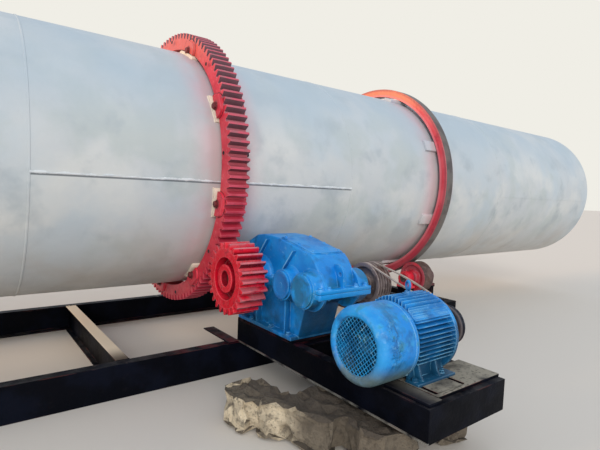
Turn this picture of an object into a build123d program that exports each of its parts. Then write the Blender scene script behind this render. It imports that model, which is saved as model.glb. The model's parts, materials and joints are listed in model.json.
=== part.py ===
"""Rotary drum dryer: drum on two riding rings, girth gear, pinion, reducer, belt drive and motor."""
import math
import os

from build123d import *

os.makedirs("parts", exist_ok=True)

# The ground is z = 0 and the drum's axis runs along X, above the origin. Sizes are in mm.

# Drum
DRUM_R = 1100
DRUM_LENGTH = 20000
WALL = 16
COURSE = 2775
FIRST_JOINT = -6769
WELD_WIDTH = 18
WELD_RISE = 4
SEAM_ANGLES = (96, -48)
FLIGHTS = 12
FLIGHT_DEPTH = 190
FLIGHT_LIP = 110
FLIGHT_T = 10
FLIGHT_END = 900

# Girth gear and pinion
MODULE = 22
PINION_TEETH = 24
PRESSURE = 20
BACKLASH = 2.4
GEAR_MIDDLE = 2956
GEAR_WIDTH = 175
GEAR_RIM = 96.5
MOUNT_RISE = 30
MOUNTS = 9
MOUNT_START = 25
MOUNT_LENGTH = 240
MOUNT_OUT = 68
BOSS_R = 102
BOSS_RISE = 22
BOSS_SET = 14
SPLIT_ANGLE = 66.6
SPLIT_POCKET = 34
SPLIT_DEPTH = 38
BOLT_R = 16
PINION_SHIFT = 15.5
PINION_WIDTH = 223
PINION_ANGLE = 35.1
HUB_R = 118
OUTPUT_R = 62

# Riding rings, rollers and their bearings
TYRE_X = 5750
TYRE_WIDTH = 126
TYRE_DEPTH = 99
PAD_RISE = 40
PAD_COUNT = 8
PAD_LENGTH = 150
PAD_WIDTH = 526
ROLLER_R = 190
ROLLER_WIDTH = 170
ROLLER_ANGLE = 36
ROLLER_GAP = 0.3
ROLLER_SHAFT_R = 45
BEARING_X = 195
BEARING_WIDTH = 100
BEARING_HALF = 100
BEARING_RISE = 110
STAND_RISE = 222
RUNNING = 0.05

# Main frame
BEAM_PAST_ROLLER = 186
BEAM_HEIGHT = 257
BEAM_FLANGE = 90
BEAM_PAST_TYRE = 600
STEEL = 10
CROSS_PITCH = 2185
CROSS_FLANGE = 100

# Drive frame
DRIVE_Y = -2990
DRIVE_LAP = 45
DRIVE_WIDTH = 760
DRIVE_HEIGHT = 198
DRIVE_FLANGE = 75
DECK = 12
MOTOR_DECK = 20
TIE_LENGTH = 500
TIE_WIDTH = 104
BLOCK_SIZE = 330
SLOT_LENGTH = 220
SLOT_WIDTH = 24
SLOT_SHIFT = 49
SLOT_EDGE = 30

# Reducer
BOX_WIDTH = 340
FLANGE_OUT = 73
FLANGE_T = 26
BOX_GAP = 56
CENTRES = 650
STAGE_1 = 250
NEAR_REACH = 179
FAR_REACH = 449
FOOT_NEAR = 140
FOOT_T = 30
TOP_RISE = 345
SLOPE = (0.715, 0.965)
SLOPE_START = 130
BOSS_RADII = (150, 125, 117)
BOSS_PAST = 12
CAP_STEP = 12
CAP_T = 18
RIB_OUT = 52
RIB_T = 16
LUG_OUT = 46
LUG_RISE = 160
LUG_T = 24
LUG_HOLE_R = 15
INPUT_R = 45

# Belt drive
BIG_PULLEY_R = 168
SMALL_PULLEY_R = 136
PULLEY_GAP = 108
PULLEY_WIDTH = 146
GROOVES = 5
BELT_GROOVES = (0, 3)
GROOVE_PITCH = 27.5
GROOVE_DEPTH = 17
BELT_HALF = 7
BELT_T = 10

# Motor
MOTOR_Y = -2576
MOTOR_H = 225
MOTOR_R = 190
MOTOR_LENGTH = 372
FIN_TOP = 265
FIN_SIDE = 235
FIN_ROUND = 266
FIN_T = 6
FIN_PITCH = 26
SIDE_FINS = (-95, 191)
TOP_FINS = 6
FAN_R = 235
FAN_LENGTH = 285
FAN_WALL = 3
FAN_SEAT = 8
FAN_ROUND = 34
MESH_R = 166
MESH_PITCH = 40
FOOT_HALF = 233
FOOT_WIDTH = 100
FOOT_START = 17
FOOT_LENGTH = 360
FOOT_HOLES = (24, 280)
MOTOR_SHAFT_R = 30
SHIELD_R = 221
SHIELD_T = 40
SHAFT_GAP = 55
EYE_X = 163
EYE_R = 30

# Places that follow from the sizes above
GEAR_BORE_R = DRUM_R + MOUNT_RISE
GEAR_TEETH = round(2 * (GEAR_BORE_R + GEAR_RIM + 1.25 * MODULE) / MODULE)
ROOT_R = MODULE * GEAR_TEETH / 2 - 1.25 * MODULE
GEAR_X = (GEAR_MIDDLE - GEAR_WIDTH / 2, GEAR_MIDDLE + GEAR_WIDTH / 2)
PINION_MIDDLE = GEAR_MIDDLE + PINION_SHIFT
PINION_X = (PINION_MIDDLE - PINION_WIDTH / 2, PINION_MIDDLE + PINION_WIDTH / 2)
TYRE_BORE_R = DRUM_R + PAD_RISE
TYRE_R = TYRE_BORE_R + TYRE_DEPTH
ROLLER_REACH = TYRE_R + ROLLER_R + ROLLER_GAP
ROLLER_Y = ROLLER_REACH * math.sin(math.radians(ROLLER_ANGLE))
BEAM_FACE_Y = ROLLER_Y + BEAM_PAST_ROLLER
ROLLER_Z = BEAM_HEIGHT + STAND_RISE + BEARING_RISE
AXIS_Z = ROLLER_Z + ROLLER_REACH * math.cos(math.radians(ROLLER_ANGLE))
MESH_REACH = MODULE * (GEAR_TEETH + PINION_TEETH) / 2
PINION_Y = -MESH_REACH * math.cos(math.radians(PINION_ANGLE))
PINION_Z = AXIS_Z - MESH_REACH * math.sin(math.radians(PINION_ANGLE))
DRIVE_TOP = BEAM_HEIGHT + DRIVE_HEIGHT
DECK_TOP = DRIVE_TOP + DECK
FLANGE_X = (PINION_X[1] + BOX_GAP, PINION_X[1] + BOX_GAP + BOX_WIDTH + 2 * FLANGE_OUT)
BOX_X = (FLANGE_X[0] + FLANGE_OUT, FLANGE_X[1] - FLANGE_OUT)
BOX_MIDDLE = (BOX_X[0] + BOX_X[1]) / 2
INPUT_Y = PINION_Y - CENTRES
MIDDLE_Y = INPUT_Y + STAGE_1
BOX_Y = (INPUT_Y - NEAR_REACH, PINION_Y + FAR_REACH)
SLOPE_Y = (BOX_Y[0] + FLANGE_OUT + SLOPE_START, PINION_Y - 215)
DRIVE_X = (FLANGE_X[0] + 5, FLANGE_X[0] + 5 + DRIVE_WIDTH)
DRIVE_END = DRIVE_LAP - BEAM_FACE_Y
PULLEY_X = (FLANGE_X[1] + PULLEY_GAP, FLANGE_X[1] + PULLEY_GAP + PULLEY_WIDTH)
MOTOR_SEAT = DRIVE_TOP + MOTOR_DECK
MOTOR_Z = MOTOR_SEAT + MOTOR_H
MOTOR_X = (PULLEY_X[0] - SHAFT_GAP - SHIELD_T - MOTOR_LENGTH, PULLEY_X[0] - SHAFT_GAP - SHIELD_T)
FAN_X = (MOTOR_X[0] - FAN_LENGTH, MOTOR_X[0])
FOOT_X = (MOTOR_X[0] + FOOT_START, MOTOR_X[0] + FOOT_START + FOOT_LENGTH)
JOINTS = [FIRST_JOINT + COURSE * index for index in range(6)]


def block(x, y, z):
    """A box between two limits on each axis."""
    middle = Pos((x[0] + x[1]) / 2, (y[0] + y[1]) / 2, (z[0] + z[1]) / 2)
    return middle * Box(x[1] - x[0], y[1] - y[0], z[1] - z[0])


def rod(radius, x, y=0.0, z=AXIS_Z):
    """A round bar along X."""
    return Pos((x[0] + x[1]) / 2, y, z) * Rot(0, 90, 0) * Cylinder(radius, x[1] - x[0])


def ring(outer, inner, x, y=0.0, z=AXIS_Z):
    """A plain ring about an axis along X."""
    return rod(outer, x, y, z) - rod(inner, (x[0] - 1, x[1] + 1), y, z)


def turned(profile, y=0.0, z=AXIS_Z):
    """A closed profile of (x, radius) points turned about an axis along X."""
    return Pos(0, y, z) * revolve(make_face(Polyline(profile, close=True)), Axis.X)


def along_x(points, x):
    """A closed outline of (y, z) points drawn out along X."""
    plane = Plane(origin=(x[0], 0, 0), x_dir=(0, 1, 0), z_dir=(1, 0, 0))
    return extrude(plane * make_face(Polyline(points, close=True)), x[1] - x[0])


def around(piece, angle, y=0.0, z=AXIS_Z):
    """A piece turned about an axis along X."""
    return Pos(0, y, z) * Rot(angle, 0, 0) * Pos(0, -y, -z) * piece


def save(name, shape):
    """Write one node."""
    shape.label = name
    export_step(shape, f"parts/{name}.step")


def channel(height, flange, length):
    """A channel along X: its web on y = 0, its flanges towards +Y, its foot on z = 0."""
    thick = STEEL + 2
    points = [(0, 0), (flange, 0), (flange, thick), (STEEL, thick)]
    points += [(STEEL, height - thick), (flange, height - thick), (flange, height), (0, height)]
    return along_x(points, (0, length))


def involute(angle):
    return math.tan(angle) - angle


def tooth_outline(teeth, phase):
    """The outline of a spur gear as (y, z) points about its centre, with a tooth centred on phase."""
    pitch = MODULE * teeth / 2
    pressure = math.radians(PRESSURE)
    base = pitch * math.cos(pressure)
    tip = pitch + MODULE
    root = pitch - 1.25 * MODULE
    half = math.pi / (2 * teeth) - BACKLASH / (4 * pitch)
    start = max(base, root + 0.2 * MODULE)
    flank = []
    for step in range(3):
        radius = start + (tip - start) * step / 2
        flank.append((radius, half + involute(pressure) - involute(math.acos(min(1, base / radius)))))
    flank.insert(0, (root, flank[0][1] + 1.5 / root))
    points = []
    for tooth in range(teeth):
        centre = phase + 2 * math.pi * tooth / teeth
        for radius, turn in flank:
            points.append((radius * math.cos(centre - turn), radius * math.sin(centre - turn)))
        for radius, turn in reversed(flank):
            points.append((radius * math.cos(centre + turn), radius * math.sin(centre + turn)))
    return points


def toothed(teeth, phase, bore, x, y, z):
    """A spur gear with a plain bore."""
    plane = Plane(origin=(x[0], y, z), x_dir=(0, 1, 0), z_dir=(1, 0, 0))
    outline = Wire(Polyline(tooth_outline(teeth, phase), close=True).edges())
    return extrude(plane * Face(outline, [Wire.make_circle(bore)]), x[1] - x[0])


def pulley(radius, bore, hub, y, z):
    """A grooved belt pulley with a web and a hub."""
    x0, x1 = PULLEY_X
    first = (x0 + x1) / 2 - GROOVE_PITCH * (GROOVES - 1) / 2
    rim = radius - GROOVE_DEPTH - 14
    points = [(x0, rim), (x0, radius)]
    for index in range(GROOVES):
        middle = first + GROOVE_PITCH * index
        points += [(middle - 10, radius), (middle - 6, radius - GROOVE_DEPTH)]
        points += [(middle + 6, radius - GROOVE_DEPTH), (middle + 10, radius)]
    points += [(x1, radius), (x1, rim), (x1 - 40, rim), (x1 - 40, hub), (x1, hub), (x1, bore)]
    points += [(x0 + 12, bore), (x0 + 12, hub), (x0 + 40, hub), (x0 + 40, rim)]
    return turned(points, y, z)


def build_shell():
    half = DRUM_LENGTH / 2
    body = ring(DRUM_R, DRUM_R - WALL, (-half, half))
    wide = WELD_WIDTH / 2
    for joint in JOINTS:
        crown = DRUM_R + WELD_RISE
        bead = [(joint - wide, DRUM_R - 2), (joint - wide / 2, crown), (joint + wide / 2, crown)]
        body += turned([*bead, (joint + wide, DRUM_R - 2)])
    edges = (-half, *JOINTS, half)
    for index in range(len(edges) - 1):
        span = (edges[index] + wide, edges[index + 1] - wide)
        seam = block(span, (-wide, wide), (AXIS_Z + DRUM_R - 3, AXIS_Z + DRUM_R + WELD_RISE - 1))
        body += around(seam, SEAM_ANGLES[index % 2])
    save("drum_shell", body)


def build_flights():
    half = DRUM_LENGTH / 2 - FLIGHT_END
    bore = DRUM_R - WALL
    tip = AXIS_Z + bore - FLIGHT_DEPTH
    plate = block((-half, half), (-FLIGHT_T / 2, FLIGHT_T / 2), (tip, AXIS_Z + bore))
    plate += block((-half, half), (-FLIGHT_T / 2, FLIGHT_LIP), (tip, tip + FLIGHT_T))
    plate &= rod(bore, (-half, half))
    step = 360 / FLIGHTS
    save("drum_flights", Compound([around(plate, step * (index + 0.5)) for index in range(FLIGHTS)]))


def build_girth_gear():
    mesh = math.atan2(PINION_Z - AXIS_Z, PINION_Y)
    gear = toothed(GEAR_TEETH, mesh, GEAR_BORE_R, GEAR_X, 0, AXIS_Z)
    middle = GEAR_BORE_R + GEAR_RIM * 0.42
    x0, x1 = GEAR_X
    for half_turn in (0, 180):
        turn = 90 - SPLIT_ANGLE + half_turn
        for hand in (-1, 1):
            span = sorted((hand * 22, hand * (22 + 2 * SPLIT_POCKET)))
            for x in ((x0 - 1, x0 + SPLIT_DEPTH), (x1 - SPLIT_DEPTH, x1 + 1)):
                pocket = block(x, span, (AXIS_Z + middle - SPLIT_POCKET, AXIS_Z + middle + SPLIT_POCKET))
                gear -= around(pocket, turn)
        tall = (AXIS_Z + GEAR_BORE_R - 5, AXIS_Z + middle + SPLIT_POCKET)
        gear -= around(block((x0 - 1, x1 + 1), (-0.75, 0.75), tall), turn)
    turns = [90 - MOUNT_START - 360 / MOUNTS * index for index in range(MOUNTS)]
    wide = (x0 - BOSS_RISE, x1 + BOSS_RISE)
    boss = rod(BOSS_R, wide, 0, AXIS_Z + GEAR_BORE_R + BOSS_SET)
    boss &= ring(ROOT_R - 6, GEAR_BORE_R, wide)
    for turn in turns:
        gear += around(boss, turn)
    save("girth_gear", gear)
    long = MOUNT_LENGTH / 2
    reach = (x0 - MOUNT_OUT, x1 + MOUNT_OUT)
    plate = block(reach, (-long, long), (AXIS_Z + DRUM_R - 20, AXIS_Z + GEAR_BORE_R + 20))
    plate &= ring(GEAR_BORE_R, DRUM_R, reach)
    save("gear_mounts", Compound([around(plate, turn) for turn in turns]))


def build_tyres():
    for side, name in ((1, "right"), (-1, "left")):
        x0 = side * TYRE_X - TYRE_WIDTH / 2
        x1 = side * TYRE_X + TYRE_WIDTH / 2
        section = [(x0, TYRE_BORE_R), (x0, TYRE_R - 6), (x0 + 6, TYRE_R)]
        section += [(x1 - 6, TYRE_R), (x1, TYRE_R - 6), (x1, TYRE_BORE_R)]
        save(f"riding_ring_{name}", turned(section))
        reach = (side * TYRE_X - PAD_WIDTH / 2, side * TYRE_X + PAD_WIDTH / 2)
        wide = PAD_LENGTH / 2
        pad = block(reach, (-wide, wide), (AXIS_Z + DRUM_R - 20, AXIS_Z + TYRE_BORE_R + 20))
        pad &= ring(TYRE_BORE_R, DRUM_R, reach)
        step = 360 / PAD_COUNT
        pads = [around(pad, step * (index + 0.5)) for index in range(PAD_COUNT)]
        save(f"ring_pads_{name}", Compound(pads))


def build_pinion():
    mesh = math.atan2(AXIS_Z - PINION_Z, -PINION_Y)
    gap = mesh + math.pi / PINION_TEETH
    x0, x1 = PINION_X
    pinion = toothed(PINION_TEETH, gap, OUTPUT_R, PINION_X, PINION_Y, PINION_Z)
    rim = MODULE * PINION_TEETH / 2 - 1.25 * MODULE - 42
    for x in ((x0 - 1, x0 + 34), (x1 - 34, x1 + 1)):
        pinion -= ring(rim, HUB_R, x, PINION_Y, PINION_Z)
    save("pinion", pinion)
    shaft = rod(OUTPUT_R, (x0 + 26, BOX_X[1] - 40), PINION_Y, PINION_Z)
    save("output_shaft", shaft)


def roller_profile(x0, x1):
    rim = ROLLER_R - 38
    hub = 88
    left = [(x0 - 22, ROLLER_SHAFT_R), (x0 - 22, hub - 8), (x0, hub), (x0 + 28, hub + 6)]
    left += [(x0 + 28, rim - 4), (x0, rim), (x0, ROLLER_R - 4), (x0 + 4, ROLLER_R)]
    return left + [(x0 + x1 - x, radius) for x, radius in reversed(left)]


def pillow_block(x, y):
    """A bearing on its stand: a foot with two bolt ears and a round housing open for the shaft."""
    foot = ROLLER_Z - BEARING_RISE
    housing = rod(82, x, y, ROLLER_Z)
    left = [(-82, ROLLER_Z), (-70, foot + 26), (-BEARING_HALF, foot + 26), (-BEARING_HALF, foot)]
    outline = left + [(-across, up) for across, up in reversed(left)]
    housing += along_x([(y + across, up) for across, up in outline], x)
    middle = (x[0] + x[1]) / 2
    for hand in (-1, 1):
        ear = y + hand * (BEARING_HALF - 15)
        housing += Pos(middle, ear, foot + 26) * extrude(RegularPolygon(13, 6), 14)
    return housing - rod(ROLLER_SHAFT_R + RUNNING, (x[0] - 1, x[1] + 1), y, ROLLER_Z)


def stand(x, y):
    """The welded stand under one bearing: two cheeks, a web and a top plate."""
    top = BEAM_HEIGHT + STAND_RISE
    middle = (x[0] + x[1]) / 2
    body = block(x, (y - BEARING_HALF, y + BEARING_HALF), (top - 16, top))
    body += block(x, (y - BEARING_HALF - 12, y + BEARING_HALF - 4), (BEAM_HEIGHT, BEAM_HEIGHT + 14))
    across = (y - BEARING_HALF + 4, y + BEARING_HALF - 8)
    body += block((middle - 6, middle + 6), across, (BEAM_HEIGHT, top))
    for cheek in (y - BEARING_HALF + 10, y + BEARING_HALF - 26):
        body += block((x[0] + 6, x[1] - 6), (cheek, cheek + 12), (BEAM_HEIGHT, top))
    return body


def build_rollers():
    for side, end in ((1, "right"), (-1, "left")):
        centre = side * TYRE_X
        bearings = []
        stands = []
        for hand, name in ((-1, "near"), (1, "far")):
            y = hand * ROLLER_Y
            section = roller_profile(centre - ROLLER_WIDTH / 2, centre + ROLLER_WIDTH / 2)
            save(f"roller_{end}_{name}", turned(section, y, ROLLER_Z))
            reach = BEARING_X + BEARING_WIDTH / 2 + 8
            shaft = rod(ROLLER_SHAFT_R, (centre - reach, centre + reach), y, ROLLER_Z)
            save(f"roller_shaft_{end}_{name}", shaft)
            for way in (-1, 1):
                middle = centre + way * BEARING_X
                x = (middle - BEARING_WIDTH / 2, middle + BEARING_WIDTH / 2)
                bearings.append(pillow_block(x, y))
                stands.append(stand(x, y))
        save(f"roller_bearings_{end}", Compound(bearings))
        save(f"roller_stands_{end}", Compound(stands))


def build_main_frame():
    half = TYRE_X + BEAM_PAST_TYRE
    beam = channel(BEAM_HEIGHT, BEAM_FLANGE, 2 * half)
    save("main_beam_near", Pos(-half, -BEAM_FACE_Y, 0) * beam)
    save("main_beam_far", Pos(half, BEAM_FACE_Y, 0) * Rot(0, 0, 180) * beam)
    places = [CROSS_PITCH * index for index in (-1, 0, 1)]
    for side in (-1, 1):
        places += [side * TYRE_X - BEARING_X, side * TYRE_X + BEARING_X, side * (half - CROSS_FLANGE / 2)]
    web = BEAM_FACE_Y - STEEL
    clear = BEAM_FACE_Y - BEAM_FLANGE
    wide = CROSS_FLANGE / 2
    thick = STEEL + 2
    member = block((-STEEL / 2, STEEL / 2), (-web, web), (thick, BEAM_HEIGHT - thick))
    member += block((-wide, wide), (-clear, clear), (0, thick))
    member += block((-wide, wide), (-clear, clear), (BEAM_HEIGHT - thick, BEAM_HEIGHT))
    save("cross_members", Compound([Pos(x, 0, 0) * member for x in sorted(places)]))


def broken_block(size, tall, turn):
    """A broken lump of concrete: a block with its corners knocked off and uneven sides."""
    body = Box(size, size * 0.9, tall)
    knife = Box(size, 3 * size, 3 * tall)
    for angle, reach in ((20, 0.56), (75, 0.60), (140, 0.53), (205, 0.58), (262, 0.52), (318, 0.60)):
        body -= Rot(0, 0, angle) * Pos(size * (reach + 0.5), 0, 0) * Rot(0, angle / 14 - 9, 0) * knife
    return Pos(0, 0, tall / 2) * Rot(0, 0, turn) * body


def build_drive_frame():
    x0, x1 = DRIVE_X
    rail = channel(DRIVE_HEIGHT, DRIVE_FLANGE, DRIVE_END - DRIVE_Y)
    rails = Pos(x0, DRIVE_END, BEAM_HEIGHT) * Rot(0, 0, -90) * rail
    rails += Pos(x1, DRIVE_Y, BEAM_HEIGHT) * Rot(0, 0, 90) * rail
    inner = channel(DRIVE_HEIGHT - 2 * STEEL - 4, DRIVE_FLANGE, DRIVE_WIDTH - 2 * STEEL)
    raised = BEAM_HEIGHT + STEEL + 2
    end = channel(DRIVE_HEIGHT, DRIVE_FLANGE, DRIVE_WIDTH)
    rails += Pos(x0, DRIVE_Y, BEAM_HEIGHT) * end
    for y in (DRIVE_END - 40, INPUT_Y + 150, MOTOR_Y + 300):
        rails += Pos(x1 - STEEL, y, raised) * Rot(0, 0, 180) * inner
    save("drive_frame", rails)
    top = (DRIVE_TOP, DECK_TOP)
    plates = [block((x0, FLANGE_X[1] - 10), (INPUT_Y + FOOT_NEAR - 12, DRIVE_END), top)]
    tie = (-BEAM_FACE_Y + 4, -BEAM_FACE_Y + TIE_LENGTH)
    plates.append(block((x0 - TIE_WIDTH, x0), tie, (BEAM_HEIGHT, BEAM_HEIGHT + STEEL)))
    slot = extrude(SlotOverall(SLOT_LENGTH, SLOT_WIDTH, rotation=90), amount=2 * MOTOR_DECK, both=True)
    for hand in (-1, 1):
        centre = MOTOR_Y + hand * (FOOT_HALF - FOOT_WIDTH / 2)
        middle = centre - SLOT_SHIFT
        across = (middle - SLOT_LENGTH / 2 - SLOT_EDGE, centre + FOOT_WIDTH)
        plate = block((MOTOR_X[0] + 8, x1), across, (DRIVE_TOP, MOTOR_SEAT))
        for hole in FOOT_HOLES:
            plate -= Pos(FOOT_X[0] + hole, middle, DECK_TOP) * slot
        plates.append(plate)
    save("drive_plates", Compound(plates))
    size = BLOCK_SIZE
    heap = [(1.2, -0.19, 1.0, 8), (1.0, 0.45, 0.75, 50), (0.33, 1.08, 1.35, 20), (-0.12, 2.18, 1.3, 65)]
    stones = []
    for left, front, scale, turn in heap:
        stone = broken_block(size * scale, BEAM_HEIGHT, turn)
        stones.append(Pos(x0 - size * left, INPUT_Y - size * front, 0) * stone)
    blocks = [stones[0].fuse(*stones[1:])]
    for y, turn in ((MOTOR_Y - size / 5, 60), (INPUT_Y + size, 200)):
        blocks.append(Pos(x1 - size / 2, y, 0) * broken_block(size * 1.1, BEAM_HEIGHT, turn))
    save("support_blocks", Compound(blocks))


def reducer_side(top):
    """The housing's side outline above or below the split, as (y, z) points."""
    near, far = BOX_Y[0] + FLANGE_OUT, BOX_Y[1] - FLANGE_OUT
    if not top:
        return [(near, PINION_Z), (near + 10, PINION_Z - FLANGE_T), (near + 165, PINION_Z - 130),
                (near + 250, DECK_TOP), (far - 90, DECK_TOP), (far, PINION_Z - 120), (far, PINION_Z)]
    rise = TOP_RISE
    points = [(near, 0), (near + 10, rise * 0.24), (near + 66, rise * 0.51),
              (SLOPE_Y[0], rise * SLOPE[0]), (SLOPE_Y[1], rise * SLOPE[1]), (PINION_Y - 90, rise),
              (PINION_Y + 60, rise * 0.97), (far - 150, rise * 0.78), (far - 40, rise * 0.42), (far, 0)]
    return [(y, PINION_Z + up) for y, up in points]


def leaning_rib(y, low, high, x):
    """A rib on the side wall that leans towards the near end as it rises."""
    across = RIB_T * 0.6
    points = [(y - across, PINION_Z + low), (y + across, PINION_Z + low)]
    lean = (high - low) * 0.8
    points += [(y + across - lean, PINION_Z + high), (y - across - lean, PINION_Z + high)]
    return along_x(points, x)


def lifting_lug(y, way):
    """A lug with a hole on an end wall, over the split."""
    low = PINION_Z + FLANGE_T - 1
    top = PINION_Z + LUG_RISE
    outer = y + way * LUG_OUT
    points = [(y - way * 40, low), (outer, low), (outer, top - 50)]
    points += [(y - way * 10, top), (y - way * 50, top)]
    hole_y = y + way * LUG_OUT / 2
    x = (BOX_MIDDLE - LUG_T / 2, BOX_MIDDLE + LUG_T / 2)
    return along_x(points, x) - rod(LUG_HOLE_R, (x[0] - 1, x[1] + 1), hole_y - way * 8, top - 66)


def build_reducer():
    f0, f1 = FLANGE_X
    radii = BOSS_RADII
    shafts = ((PINION_Y, radii[0]), (MIDDLE_Y, radii[1]), (INPUT_Y, radii[2]))
    lower = along_x(reducer_side(False), BOX_X)
    upper = along_x(reducer_side(True), BOX_X)
    lower += block(FLANGE_X, BOX_Y, (PINION_Z - FLANGE_T, PINION_Z))
    upper += block(FLANGE_X, BOX_Y, (PINION_Z, PINION_Z + FLANGE_T))
    foot_y = (INPUT_Y + FOOT_NEAR, DRIVE_END - 6)
    lower += block((f0 + 8, f1 - 8), foot_y, (DECK_TOP, DECK_TOP + FOOT_T))
    caps = []
    for y, radius in shafts:
        boss = rod(radius, (f0 - BOSS_PAST, f1 + BOSS_PAST), y, PINION_Z)
        above = block((f0 - 20, f1 + 20), (y - 200, y + 200), (PINION_Z, PINION_Z + 200))
        upper += boss & above
        lower += boss - above
        for face, way in ((f0 - BOSS_PAST, -1), (f1 + BOSS_PAST, 1)):
            lip = face + way * CAP_T
            edge = lip - way * 4
            section = [(face, 0), (face, radius - CAP_STEP), (edge, radius - CAP_STEP)]
            section += [(lip, radius - CAP_STEP - 4), (lip, radius * 0.6), (edge, radius * 0.55), (edge, 0)]
            caps.append(turned(section, y, PINION_Z))
    for wall, way in ((BOX_X[0], -1), (BOX_X[1], 1)):
        span = sorted((wall - way, wall + way * RIB_OUT))
        for y, share in ((PINION_Y, 0.9), (MIDDLE_Y, 0.75)):
            across = (y - RIB_T / 2, y + RIB_T / 2)
            lower += block(span, across, (DECK_TOP + FOOT_T - 1, PINION_Z - FLANGE_T + 1))
            upper += leaning_rib(y + 95, 80, TOP_RISE * share, span)
    upper += lifting_lug(BOX_Y[0] + FLANGE_OUT, -1) + lifting_lug(BOX_Y[1] - FLANGE_OUT, 1)
    bores = rod(OUTPUT_R + RUNNING, (f0 - 60, BOX_X[1] - 38), PINION_Y, PINION_Z)
    bores += rod(INPUT_R + RUNNING, (BOX_X[0] + 38, f1 + 60), INPUT_Y, PINION_Z)
    save("reducer_base", lower - bores)
    save("reducer_cover", upper - bores)
    save("bearing_caps", Compound([cap - bores for cap in caps]))
    slope_z = (PINION_Z + TOP_RISE * SLOPE[0], PINION_Z + TOP_RISE * SLOPE[1])
    lean = math.degrees(math.atan2(slope_z[1] - slope_z[0], SLOPE_Y[1] - SLOPE_Y[0]))
    reach = math.hypot(slope_z[1] - slope_z[0], SLOPE_Y[1] - SLOPE_Y[0])
    hatch = Pos(0, 0, 7) * Box(BOX_WIDTH - 50, reach - 16, 14)
    for x in (-BOX_WIDTH / 2 + 45, BOX_WIDTH / 2 - 45):
        for y in (-reach / 2 + 30, reach / 2 - 30):
            hatch += Pos(x, y, 14) * extrude(RegularPolygon(10, 6), 8)
    middle = ((SLOPE_Y[0] + SLOPE_Y[1]) / 2, (slope_z[0] + slope_z[1]) / 2)
    save("inspection_cover", Pos(BOX_MIDDLE, middle[0], middle[1]) * Rot(lean, 0, 0) * hatch)
    edge = FLANGE_OUT / 2
    sides = (BOX_Y[0] + edge, PINION_Y - 213, PINION_Y + 190, BOX_Y[1] - edge)
    places = [(x, y) for x in (f0 + edge, f1 - edge) for y in sides]
    places += [(x, y) for x in (BOX_X[0] + 40, BOX_X[1] - 40) for y in (BOX_Y[0] + edge, BOX_Y[1] - edge)]
    heads = [Pos(x, y, PINION_Z + FLANGE_T) * extrude(RegularPolygon(13, 6), 12) for x, y in places]
    save("housing_bolts", Compound(heads))
    save("input_shaft", rod(INPUT_R, (BOX_X[0] + 40, PULLEY_X[1] + 12), INPUT_Y, PINION_Z))
    save("input_pulley", pulley(BIG_PULLEY_R, INPUT_R, 70, INPUT_Y, PINION_Z))


def belt_loop(x, outer):
    """One layer's solid outline round both pulleys, drawn out along X."""
    drop = 0 if outer else BELT_T
    big = BIG_PULLEY_R - drop
    small = SMALL_PULLEY_R - drop
    lean = math.atan2(MOTOR_Z - PINION_Z, MOTOR_Y - INPUT_Y)
    wrap = math.acos((big - small) / math.hypot(MOTOR_Z - PINION_Z, MOTOR_Y - INPUT_Y))
    points = []
    for index in range(25):
        angle = lean + wrap + (2 * math.pi - 2 * wrap) * index / 24
        points.append((INPUT_Y + big * math.cos(angle), PINION_Z + big * math.sin(angle)))
    for index in range(25):
        angle = lean - wrap + 2 * wrap * index / 24
        points.append((MOTOR_Y + small * math.cos(angle), MOTOR_Z + small * math.sin(angle)))
    return along_x(points, x)


def build_belts():
    first = (PULLEY_X[0] + PULLEY_X[1]) / 2 - GROOVE_PITCH * (GROOVES - 1) / 2
    loops = []
    for groove in BELT_GROOVES:
        x = first + GROOVE_PITCH * groove
        outer = belt_loop((x - BELT_HALF, x + BELT_HALF), True)
        loops.append(outer - belt_loop((x - BELT_HALF - 1, x + BELT_HALF + 1), False))
    save("drive_belts", Compound(loops))


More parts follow.
